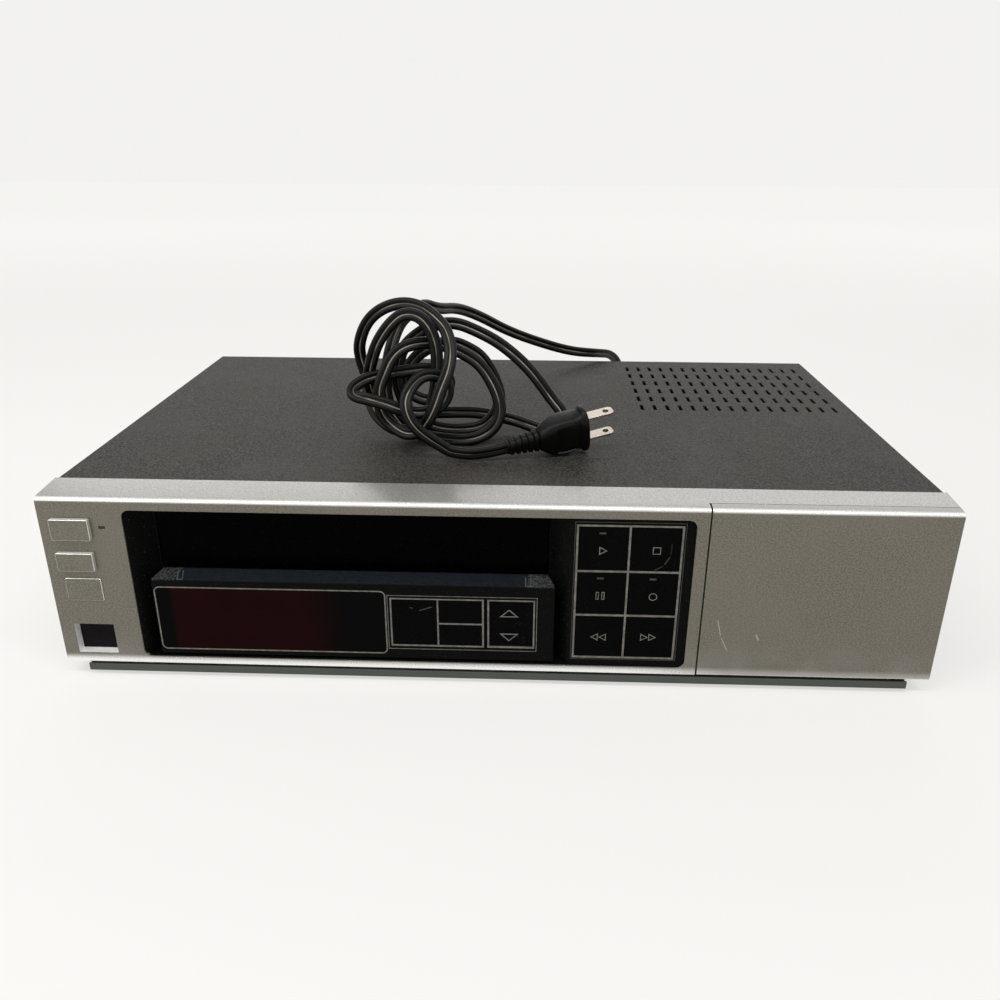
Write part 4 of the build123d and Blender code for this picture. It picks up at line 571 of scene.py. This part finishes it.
# %% Lid paint and the darker metal below
lid = Finish("lid_paint", Specular_IOR_Level=0.14)
grain = lid.noise(0.9, 3.0)
dust = lid.noise(60, 4.0)
tone = lid.blend(grain.band(0.38, 0.62), grey(0.006, 0.09), grey(0.060, 0.10))
brown = lid.noise(35, 3.0, shift=(0.4, 0.1, 0)).band(0.45, 0.7)
tone = lid.blend(brown * 0.35, tone, (0.044, 0.037, 0.029, 1))
tone = lid.blend(dust.band(0.42, 0.75) * 0.35, tone, grey(0.07, 0.06))
grit = lid.noise(0.7, 0.0, shift=(0.2, 0.3, 0)).band(0.80, 0.84)
tone = lid.blend(grit * 0.5, tone, grey(0.25, 0.03))
scuffs = lid.scratches(0.5, 0.33, (0, 0, 0.35), (0.1, 0.2, 0)) * 0.35
tone = lid.blend(scuffs, tone, grey(0.17, 0.03))
LID = lid.set(Base_Color=tone, Roughness=0.52 + grain * 0.16 + dust * 0.06,
              Normal=lid.bump(grain, 0.08, 0.7))

under = Finish("bottom_steel", Metallic=0.2)
film = under.noise(20, 3.0)
UNDER = under.set(Base_Color=under.blend(film, (0.065, 0.07, 0.06, 1), (0.10, 0.108, 0.093, 1)),
                  Roughness=0.5 + film * 0.15, Normal=under.bump(under.noise(0.8), 0.03, 0.5))

# %% [markdown]
# Black mouldings differ mostly in shine: glossy keys on the front, which show fine wiping
# marks, a duller surround, the flap that hardly catches light, and satin parts inside with
# a light spark-eroded grain. One function makes them all, since only its numbers change.


# %% Black plastics
def black_plastic(name, base, shine, grain_depth, dust_share, tint=0.0, gloss=0.05, marks=()):
    """Moulded black plastic with dust, wiping marks, a fine grain and given scratches."""
    finish = Finish(name, Specular_IOR_Level=gloss)
    fine = finish.noise(0.35, 2.0)
    haze = finish.noise(25, 3.0)
    specks = finish.noise(0.8, 0.0).band(0.74, 0.78)
    wiped = finish.scratches(0.3, 0.30, (0, 0.9, 0), (0.2, 0, 0)) * 0.25
    colour = finish.blend(haze, grey(base * 0.8, tint), grey(base * 1.25, tint))
    colour = finish.blend(specks * dust_share + wiped * dust_share, colour, grey(0.25, 0.03))
    for start, end, strength in marks:
        colour = finish.blend(finish.mark(start, end, 0.7) * strength, colour, grey(0.2, 0.05))
    return finish.set(Base_Color=colour, Roughness=shine + haze * 0.12 + specks * 0.2,
                      Normal=finish.bump(fine, grain_depth, 0.6))


KEY_SCRATCHES = (        # a curved one on the stop key and two on the tape key
    ((84.9, 73.0), (84.6, 66.0), 0.12), ((84.6, 66.0), (81.8, 60.8), 0.3),
    ((81.8, 60.8), (76.8, 57.8), 0.2),
    ((-29.2, 35.9), (-36.7, 33.3), 0.35), ((-38.6, 34.6), (-41.4, 35.3), 0.3),
)
GLOSS = black_plastic("black_gloss", 0.0012, 0.14, 0.004, 0.04, gloss=0.03, marks=KEY_SCRATCHES)
SURROUND = black_plastic("surround_black", 0.003, 0.34, 0.010, 0.10, 0.04, 0.04)
FLAP = black_plastic("flap_black", 0.0006, 0.2, 0.006, 0.03, 0.02, 0.012)
SATIN = black_plastic("dark_moulding", 0.015, 0.42, 0.02, 0.2, 0.0, 0.25)

# %% [markdown]
# The sill under the flap is blue-grey plastic on its ledge, rubbed lighter at both ends, where tapes are
# pushed in and pulled out. It is one moulding, and its faces that turn to the front, round the display,
# are painted almost black: painted shade, chosen by the direction that a surface faces.

# %% Sill
SILL_MIDDLE, WORN_FROM = -69.6, 86.2
sill = Finish("sill_grey", Specular_IOR_Level=0.07)
rub = sill.noise(0.9, 3.0)
from_middle = sill.at.axis("X") - SILL_MIDDLE * MM
ends = sill.node("ShaderNodeMath", {"operation": "ABSOLUTE"}, {0: from_middle})
worn = ends.band(WORN_FROM * MM, (WORN_FROM + 1) * MM) * rub.band(0.42, 0.62)
tone = sill.blend(sill.noise(1.2, 3.0).band(0.3, 0.7), (0.007, 0.009, 0.012, 1), (0.017, 0.021, 0.027, 1))
# Faces turned to the front get the near-black painted shade.
facing = sill.toward_front().band(0.3, 0.8)
tone = sill.blend(sill.noise(0.45, 2.0).band(0.35, 0.65) * 0.4, tone, (0.030, 0.036, 0.043, 1))
tone = sill.blend(facing, tone, (0.0035, 0.004, 0.0045, 1))
SILL = sill.set(Base_Color=sill.blend(worn * (1 - facing * 0.7), tone, (0.105, 0.11, 0.105, 1)),
                Roughness=0.36 + rub * 0.2, Normal=sill.bump(rub, 0.03, 0.5))

# %% [markdown]
# The display stands behind dark red acrylic. Only its left part lets red through, and the
# right end fades to black. Real see-through acrylic would show the tube, which is dark, so a
# dull red colour does. The receiver window is the same sort of plastic, almost black.

# %% Windows
pane = Finish("display_red", Roughness=0.12, Specular_IOR_Level=0.02)
RED_STARTS, RED_FADES = (-160.5, -157.5), (-98, -70)
across = pane.at.axis("X")
reddened = (1 - across.band(*(x * MM for x in RED_FADES))) * across.band(*(x * MM for x in RED_STARTS))
stain = pane.noise(18, 2.0)
red = pane.blend(stain, (0.010, 0.0022, 0.0026, 1), (0.021, 0.0038, 0.0042, 1))
RED_PANE = pane.set(Base_Color=pane.blend(reddened, (0.003, 0.003, 0.003, 1), red),
                    Roughness=0.12 + stain * 0.08)

receiver = Finish("remote_dark", Roughness=0.1, Specular_IOR_Level=0.05)
smoke = receiver.noise(6, 2.0)
smoked = receiver.blend(smoke, (0.005, 0.004, 0.006, 1), (0.014, 0.009, 0.013, 1))
RECEIVER = receiver.set(Base_Color=smoked, Roughness=0.08 + smoke * 0.1)

unlit = Finish("lamp_red", Roughness=0.25)
LAMP = unlit.set(Base_Color=unlit.blend(
    unlit.noise(1.5), (0.010, 0.003, 0.003, 1), (0.024, 0.005, 0.004, 1)))

# %% [markdown]
# The ruled lines and key signs are printed and moulded in a pale warm silver that has
# dulled unevenly.

# %% Ruled lines and rubber
rule = Finish("ruled_silver", Metallic=0.3)
dull = rule.noise(3.5, 3.0)
silvered = rule.blend(dull.band(0.3, 0.75), (0.135, 0.126, 0.108, 1), (0.245, 0.235, 0.206, 1))
RULE = rule.set(Base_Color=silvered, Roughness=0.4 + dull * 0.2)
guide_mark = Finish("guide_mark")
GUIDE = guide_mark.set(Base_Color=guide_mark.blend(
    guide_mark.noise(2, 3.0), grey(0.07, 0.03), grey(0.13, 0.05)))
faint = Finish("faint_line")
FAINT = faint.set(Base_Color=faint.blend(
    faint.noise(4, 3.0).band(0.3, 0.75), grey(0.012, 0.05), grey(0.045, 0.06)))


def rubbery(name, base, shine):
    """Soft black vinyl or rubber with a dusty bloom."""
    finish = Finish(name, Specular_IOR_Level=0.16)
    bloom = finish.noise(9, 3.0)
    fine = finish.noise(0.4, 1.0)
    colour = finish.blend(bloom.band(0.4, 0.8) * 0.5, grey(base, 0.02), grey(base * 2.0, 0.05))
    finish.set(Roughness=shine + bloom * 0.18, Normal=finish.bump(fine, 0.02, 0.6), Base_Color=colour)
    return finish, colour


VINYL = rubbery("cord_vinyl", 0.0035, 0.30)[0].material
RUBBER = rubbery("rubber_black", 0.014, 0.55)[0].material

# %% [markdown]
# A fine pale line runs in the groove between the two cores: a painted highlight of the sheen along the
# groove. The UV that runs round the cord puts it there, on both faces, so it turns with each twist.

# %% Cord finish
corded, cord_colour = rubbery("cord_groove", 0.0035, 0.28)
around = corded.node("ShaderNodeUVMap", {"uv_map": "round"}).axis("X")
skin_points = 2 * CORE_POINTS
groove = CORE_POINTS - 0.5
front_groove = (around - groove / skin_points) ** 2
back_groove = (around - (2 * groove + 0.5) / skin_points) ** 2
# Pale painted highlight in both grooves, patchy along the cord.
groove_highlight = (1 - front_groove.band(0.0008, 0.0030)) + (1 - back_groove.band(0.0008, 0.0030))
groove_highlight = groove_highlight * (0.25 + corded.noise(22, 2.0).band(0.42, 0.58) * 0.7)
CORDED = corded.set(Base_Color=corded.blend(groove_highlight, cord_colour, (0.42, 0.375, 0.30, 1)))
cord.data.materials.append(CORDED)
plug.data.materials.append(VINYL)

# %% [markdown]
# Metal and board finishes are for what shows at the back, under the door and through the
# cassette slot: zinc-plated steel with a spangle, turned alloy, nickel, and a brown board.


# %% Inside and rear finishes
def plain_metal(name, base, metal, shine, size, tint=0.02, stretch=(1, 1, 1)):
    """Metal whose colour and shine vary with one noise."""
    finish = Finish(name)
    spangle = finish.noise(size, 3.0, stretch)
    marks = finish.scratches(0.3, 0.3, (0.4, 0.3, 0.8)) * 0.3
    colour = finish.blend(spangle, grey(base * 0.8, tint), grey(base * 1.15, tint))
    return finish.set(Base_Color=finish.blend(marks, colour, grey(min(1, base * 1.6), tint)),
                      Metallic=metal - marks * 0.2, Roughness=shine + spangle * 0.12,
                      Normal=finish.bump(spangle, 0.01, 0.5))


def plain_moulding(name, first, second, shine, size):
    """Dull moulding or board with two close colours."""
    finish = Finish(name)
    mottle = finish.noise(size, 3.0)
    return finish.set(Base_Color=finish.blend(mottle, first, second), Roughness=shine + mottle * 0.12,
                      Normal=finish.bump(finish.noise(0.6), 0.02, 0.5))


ZINC = plain_metal("zinc_steel", 0.46, 0.85, 0.32, 7)
ALLOY = plain_metal("drum_alloy", 0.62, 0.95, 0.16, 0.6, 0.0, (1, 1, 8))
NICKEL = plain_metal("nickel", 0.60, 0.95, 0.20, 2.5, 0.05)
BLADE = plain_metal("blade_brass", 0.62, 0.9, 0.26, 3, 0.12)
SCREW = plain_metal("screw_black", 0.09, 0.6, 0.36, 1.2)
IRON = plain_metal("core_iron", 0.10, 0.5, 0.55, 3, 0.04, (1, 8, 1))
WHITE = plain_moulding("white_moulding", (0.62, 0.61, 0.57, 1), (0.72, 0.71, 0.67, 1), 0.4, 8)
BOARD = plain_moulding("board_brown", (0.16, 0.085, 0.04, 1), (0.22, 0.12, 0.055, 1), 0.5, 12)

FINISHES = {
    "silver_paint": SILVER, "cover_paint": LID, "bottom_steel": UNDER, "dark_moulding": SATIN,
    "black_gloss": GLOSS, "sill_grey": SILL, "display_red": RED_PANE, "remote_dark": RECEIVER,
    "ruled_silver": RULE, "lamp_red": LAMP, "rubber_black": RUBBER, "cord_vinyl": VINYL,
    "screw_black": SCREW, "zinc_steel": ZINC, "drum_alloy": ALLOY, "white_moulding": WHITE,
    "nickel": NICKEL, "board_brown": BOARD, "core_iron": IRON,
}
slot_of = {part["node"]: part["material_slot"] for part in frame["record"]["subparts"]}
body_of = {node: body for body, members in frame["record"]["behaviour"]["bodies"].items()
           for node in members}
for node, holder in nodes.items():
    holder.data.materials.clear()
    holder.data.materials.append(FINISHES[slot_of[node]])
nodes["plug_blades"].data.materials[0] = BLADE
nodes["window_surround"].data.materials[0] = SURROUND
nodes["cassette_flap"].data.materials[0] = FLAP
print("nodes finished", len(nodes))

# %% [markdown]
# No moulded edge is knife sharp. Each solid that shows gets a copy whose loose triangles are
# merged into whole faces, with a live Bevel that rounds every edge sharper than 30 degrees.
# Bevelling the mesh itself would do too, but the modifier's width stays easy to change.
# Harden normals keeps the flat faces flat, so only the thin round catches the light.


# %% Softened copies of the solids
def soften(node, width, finish=None, segments=2):
    """Copy of a CAD node with rounded edges, which stands for the node."""
    bm = bmesh.new()
    bm.from_mesh(nodes[node].data)
    bmesh.ops.remove_doubles(bm, verts=bm.verts, dist=0.001 * MM)
    bmesh.ops.dissolve_limit(bm, angle_limit=math.radians(0.4), verts=bm.verts, edges=bm.edges)
    copy = finished(node + "_soft", bm, 30)
    edge = copy.modifiers.new("edge", "BEVEL")
    edge.width, edge.segments = width * MM, segments
    edge.limit_method, edge.angle_limit = "ANGLE", math.radians(30)
    edge.harden_normals = True
    copy.data.materials.append(finish or FINISHES[slot_of[node]])
    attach(copy, body_of[node])
    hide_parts(node)
    return copy


TRANSPORT = ("play_key", "stop_key", "pause_key", "record_key", "rewind_key", "forward_key")
SMALL_KEYS = ("tape_tv_key", "counter_key", "reset_key")
for node, width in {
    "front_bezel": 0.25, "control_door": 0.3, "top_cover": 0.2, "power_button": 0.25,
    "eject_button": 0.25, "instant_record_button": 0.25, "window_surround": 0.2,
    "cassette_flap": 0.3, "cassette_sill": 0.15, "remote_window": 0.2, "channel_rocker": 0.3,
    "silver_trim": 0.12, "bottom_cover": 0.3, "rear_panel": 0.15, "rubber_feet": 0.5,
    "cord_gland": 0.4, "tracking_knob": 0.25, "speed_switch": 0.3, "clock_key": 0.3,
    "program_key": 0.3, "control_panel": 0.25, "output_switch": 0.2, "display_window": 0.15,
    "cassette_holder": 0.2, "plug_blades": 0.2,
}.items():
    soften(node, width, nodes[node].data.materials[0])
for node in TRANSPORT + SMALL_KEYS:
    soften(node, 0.25)

# %% [markdown]
# The key signs are thin printed plates a twentieth of a millimetre proud. They could be
# painted in the material, but a plate stays sharp at any distance and moves with its key.
# An outline sign is one face, inset by the line's width, with its middle taken out.

# %% Signs on the keys
PANEL_FACE = 0.8         # depth of the black mouldings
KEY_FACE = 0.9
SIGN_PROUD = 0.05
SIGN_LINE = 0.42


def raised(bm, faces, move):
    """Pull faces out into a plate, by a vector in millimetres."""
    lifted = bmesh.ops.extrude_face_region(bm, geom=faces)["geom"]
    bmesh.ops.translate(bm, vec=Vector(move) * MM,
                        verts=[item for item in lifted if isinstance(item, bmesh.types.BMVert)])


def sign(name, outlines, body, depth=KEY_FACE, line=SIGN_LINE, finish=RULE):
    """Thin plates on the front from outlines in width and height, hollow where line is given."""
    bm = bmesh.new()
    for outline in outlines:
        face = bm.faces.new([bm.verts.new(place(x, depth, h)) for x, h in outline])
        if line:
            face.normal_update()
            bmesh.ops.inset_region(bm, faces=[face], thickness=line * MM,
                                   use_even_offset=True, use_boundary=True)
            bmesh.ops.delete(bm, geom=[face], context="FACES_ONLY")
    raised(bm, bm.faces[:], (0, -SIGN_PROUD, 0))
    bmesh.ops.recalc_face_normals(bm, faces=bm.faces)
    made = finished(name, bm)
    made.data.materials.append(finish)
    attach(made, body)
    return made


def turned(x, h, half_wide, half_tall, facing=1):
    """Corners of a triangle that points to the right, or to the left."""
    return [(x - facing * half_wide, h + half_tall), (x - facing * half_wide, h - half_tall),
            (x + facing * half_wide, h)]


def oblong(x0, x1, h0, h1):
    """Corners of a rectangle."""
    return [(x0, h0), (x1, h0), (x1, h1), (x0, h1)]


def disc(x, h, radius, points=28):
    """Corners of a circle."""
    turns = [2 * math.pi * i / points for i in range(points)]
    return [(x + radius * math.cos(turn), h + radius * math.sin(turn)) for turn in turns]


sign("play_sign", [turned(52.7, 68.1, 2.0, 2.2)], "play_key")
sign("stop_sign", [oblong(76.0, 79.9, 66.7, 70.5)], "stop_key")
sign("pause_sign", [oblong(50.1, 51.6, 41.8, 46.0), oblong(52.9, 54.4, 41.8, 46.0)],
     "pause_key", line=0.36)
sign("record_sign", [disc(77.8, 43.8, 2.05)], "record_key")
sign("rewind_sign", [turned(50.3, 20.7, 1.9, 2.1, -1), turned(54.3, 20.7, 1.9, 2.1, -1)], "rewind_key")
sign("forward_sign", [turned(75.0, 21.1, 1.9, 2.1), turned(79.0, 21.1, 1.9, 2.1)], "forward_key")
sign("channel_sign", [
    [(3.5, 30.6), (13.0, 30.6), (8.25, 34.9)], [(13.0, 21.2), (3.5, 21.2), (8.25, 16.9)],
], "rocker", depth=1.3, line=0.5)
LAMP_HALF_WIDE, LAMP_HALF_TALL = 1.6, 0.5
for key, x, h in (("play_key", 52.0, 77.3), ("pause_key", 52.0, 53.4), ("record_key", 77.2, 53.4)):
    outline = oblong(x - LAMP_HALF_WIDE, x + LAMP_HALF_WIDE, h - LAMP_HALF_TALL, h + LAMP_HALF_TALL)
    sign(key + "_lamp", [outline], key, line=None, finish=FAINT)

# %% [markdown]
# The receiver window sits at the end of a short funnel whose walls are painted near-white: a painted
# highlight of the light that falls on them. An inset in the face would do, but the front is a imported
# solid and keeps its shape. So the funnel is a liner of its own: two rectangles, the wide one at the face,
# bridged and given thickness.

# %% The receiver's funnel
# Near-white paint on the funnel walls: painted highlight.
funnel_highlight = Finish("funnel_painted_highlight", Metallic=0.25, Specular_IOR_Level=0.8)
film = funnel_highlight.noise(3, 2.0)
FUNNEL_HIGHLIGHT = funnel_highlight.set(Base_Color=funnel_highlight.blend(film, (0.86, 0.86, 0.84, 1), (0.93, 0.93, 0.91, 1)),
                    Roughness=0.25 + film * 0.1)
REMOTE_X, REMOTE_H = (-210.5, -190.3), (5.7, 22.4)
FUNNEL_MOUTHS = ((0.02, 0.15), (0.9, 3.55))      # inset and depth of each rectangle
FUNNEL_WALL = 0.05
bm = bmesh.new()
mouths = []
for inset, depth in FUNNEL_MOUTHS:
    corners = oblong(REMOTE_X[0] + inset, REMOTE_X[1] - inset, REMOTE_H[0] + inset, REMOTE_H[1] - inset)
    verts = [bm.verts.new(place(x, depth, h)) for x, h in corners]
    mouths.append([bm.edges.new(pair) for pair in zip(verts, verts[1:] + verts[:1])])
walls = bmesh.ops.bridge_loops(bm, edges=mouths[0] + mouths[1])["faces"]
bmesh.ops.recalc_face_normals(bm, faces=bm.faces)
funnel_middle = place(sum(REMOTE_X) / 2, 2, sum(REMOTE_H) / 2)
if walls[0].normal.dot(walls[0].calc_center_median() - funnel_middle) > 0:
    bmesh.ops.reverse_faces(bm, faces=bm.faces[:])
bmesh.ops.solidify(bm, geom=bm.faces[:], thickness=-FUNNEL_WALL * MM)
funnel = finished("receiver_funnel", bm)
funnel.data.materials.append(FUNNEL_HIGHLIGHT)
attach(funnel, "base")

# %% [markdown]
# Finer lines run outside the two key groups, and a pale bracket marks each end of the sill. They are
# printed or moulded flush on the real front, so they are thin plates as well. The dark gap that parts the
# small keys from the rocker is a black plate too: painted shade.

# %% Fine lines round the keys
FINE = 0.3
sign("key_group_line", [oblong(38.9, 91.2, 7.9, 83.2)], "base", depth=PANEL_FACE, line=FINE, finish=FAINT)
sign("small_group_line", [oblong(-51.9, 22.0, 11.4, 41.9)], "base", depth=PANEL_FACE, line=FINE)
# A black plate where the gap's shade falls: painted shade.
sign("group_gap", [oblong(-4.2, -2.5, 13.1, 40.4)], "base", depth=PANEL_FACE, line=None,
     finish=GLOSS)

# %% Brackets on the sill
SILL_TOP, GUIDE_LINE, GUIDE_PROUD = 48.0, 0.55, 0.15
for number, (near, far_end) in enumerate(((-155.1, -158.1), (15.8, 15.8))):
    outer = [(far_end, 10.8), (near, 0.9), (near + 3.0, 0.9), (far_end + 3.2, 10.8)]
    inner = [(far_end + 3.2 - GUIDE_LINE, 10.8), (near + 3.0 - GUIDE_LINE, 0.9 + GUIDE_LINE),
             (near + GUIDE_LINE, 0.9 + GUIDE_LINE), (far_end + GUIDE_LINE, 10.8)]
    bm = bmesh.new()
    bm.faces.new([bm.verts.new(place(x, depth, SILL_TOP)) for x, depth in outer + inner])
    raised(bm, bm.faces[:], (0, 0, GUIDE_PROUD))
    bmesh.ops.recalc_face_normals(bm, faces=bm.faces)
    guide = finished(f"sill_guide_{number}", bm)
    guide.data.materials.append(GUIDE)
    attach(guide, "base")

# %% [markdown]
# Behind the door a scale of ticks runs round the tracking knob, the knob has a pointer, and
# the speed switch has a mark for each stop. The two setting keys carry plain signs. The
# scale stays with the panel and the pointer turns, so they are separate pieces.

# %% The control bay
BAY_FLOOR, KNOB_FRONT, SET_KEY_FRONT = 14.0, 9.5, 11.5
KNOB_AT, CLOCK_AT = (123.5, 52.0), (186.5, 52.0)
TICK_FROM, TICK_TO, END_TICK_TO = 10.2, 12.0, 12.8
TICK_STEP, SCALE_HALF = 30, 150                  # degrees


def tick(x, h, angle, start, end, half_wide):
    """Corners of a short bar that points away from a middle, at an angle from straight up."""
    out = Vector((math.sin(angle), math.cos(angle)))
    side = Vector((out.y, -out.x)) * half_wide
    middle = Vector((x, h))
    return [tuple(middle + out * reach + side * facing)
            for reach, facing in ((start, -1), (start, 1), (end, 1), (end, -1))]


scale = []
for angle in range(-SCALE_HALF, SCALE_HALF + 1, TICK_STEP):
    reach = END_TICK_TO if angle % SCALE_HALF == 0 else TICK_TO
    scale.append(tick(*KNOB_AT, math.radians(angle), TICK_FROM, reach, 0.25))
stops = [oblong(x - 0.3, x + 0.3, 35.0, 37.0) for x in (119.5, 123.5, 127.5)]
sign("tracking_scale", scale, "base", depth=BAY_FLOOR, line=None)
sign("speed_marks", stops, "base", depth=BAY_FLOOR, line=None)
sign("knob_pointer", [tick(*KNOB_AT, 0, 2.0, 7.0, 0.4)], "knob", depth=KNOB_FRONT, line=None)
sign("clock_sign", [disc(*CLOCK_AT, 2.4)], "clock_key", depth=SET_KEY_FRONT, line=0.35)
hands = [tick(*CLOCK_AT, 0, 0, 1.6, 0.18), tick(*CLOCK_AT, math.radians(110), 0.2, 1.2, 0.18)]
sign("clock_hands", hands, "clock_key", depth=SET_KEY_FRONT, line=None)
sign("program_sign", [oblong(184.0, 189.0, h - 0.25, h + 0.25) for h in (28.6, 30.0, 31.4)],
     "program_key", depth=SET_KEY_FRONT, line=None)

# %% [markdown]
# Every cover screw has a cross recess. Cutting it would take a boolean on a imported solid. At this size a
# dark cross plate on the head stands for the recess's shade, a painted shade, turned a little differently
# on each.

# %% Screw crosses
CROSS_REACH, CROSS_HALF, CROSS_PROUD = 2.0, 0.38, 0.04
CROSS_TURN, CROSS_TURN_STEP = 17, 31             # degrees
REAR_HEADS_Y, REAR_HEADS_Z = 133.95, 94.45
SIDE_HEADS_X, SIDE_HEADS_Z = 218.6, 24.0
heads = [((x, REAR_HEADS_Y, REAR_HEADS_Z), (1, 0, 0), (0, 1, 0)) for x in (-205, 0, 205)]
heads += [((side * SIDE_HEADS_X, y, SIDE_HEADS_Z), (0, 1, 0), (side, 0, 0))
          for side in (-1, 1) for y in (-70.85, 84.15)]
quarter = [(CROSS_HALF, CROSS_HALF), (CROSS_HALF, CROSS_REACH), (-CROSS_HALF, CROSS_REACH)]
bm = bmesh.new()
for number, (middle, along, out) in enumerate(heads):
    middle, along, out = Vector(middle), Vector(along), Vector(out)
    spin = Matrix.Rotation(math.radians(CROSS_TURN + CROSS_TURN_STEP * number), 2)
    corners = []
    for turn in range(4):
        corners += [spin @ Matrix.Rotation(turn * math.pi / 2, 2) @ Vector(corner) for corner in quarter]
    spots = [middle + along * c.x + Vector((0, 0, c.y)) for c in corners]
    face = bm.faces.new([bm.verts.new(spot * MM) for spot in spots])
    raised(bm, [face], out * CROSS_PROUD)
bmesh.ops.recalc_face_normals(bm, faces=bm.faces)
crosses = finished("screw_crosses", bm)
# Black crosses: painted shade of the cross recesses.
crosses.data.materials.append(GLOSS)
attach(crosses, "base")
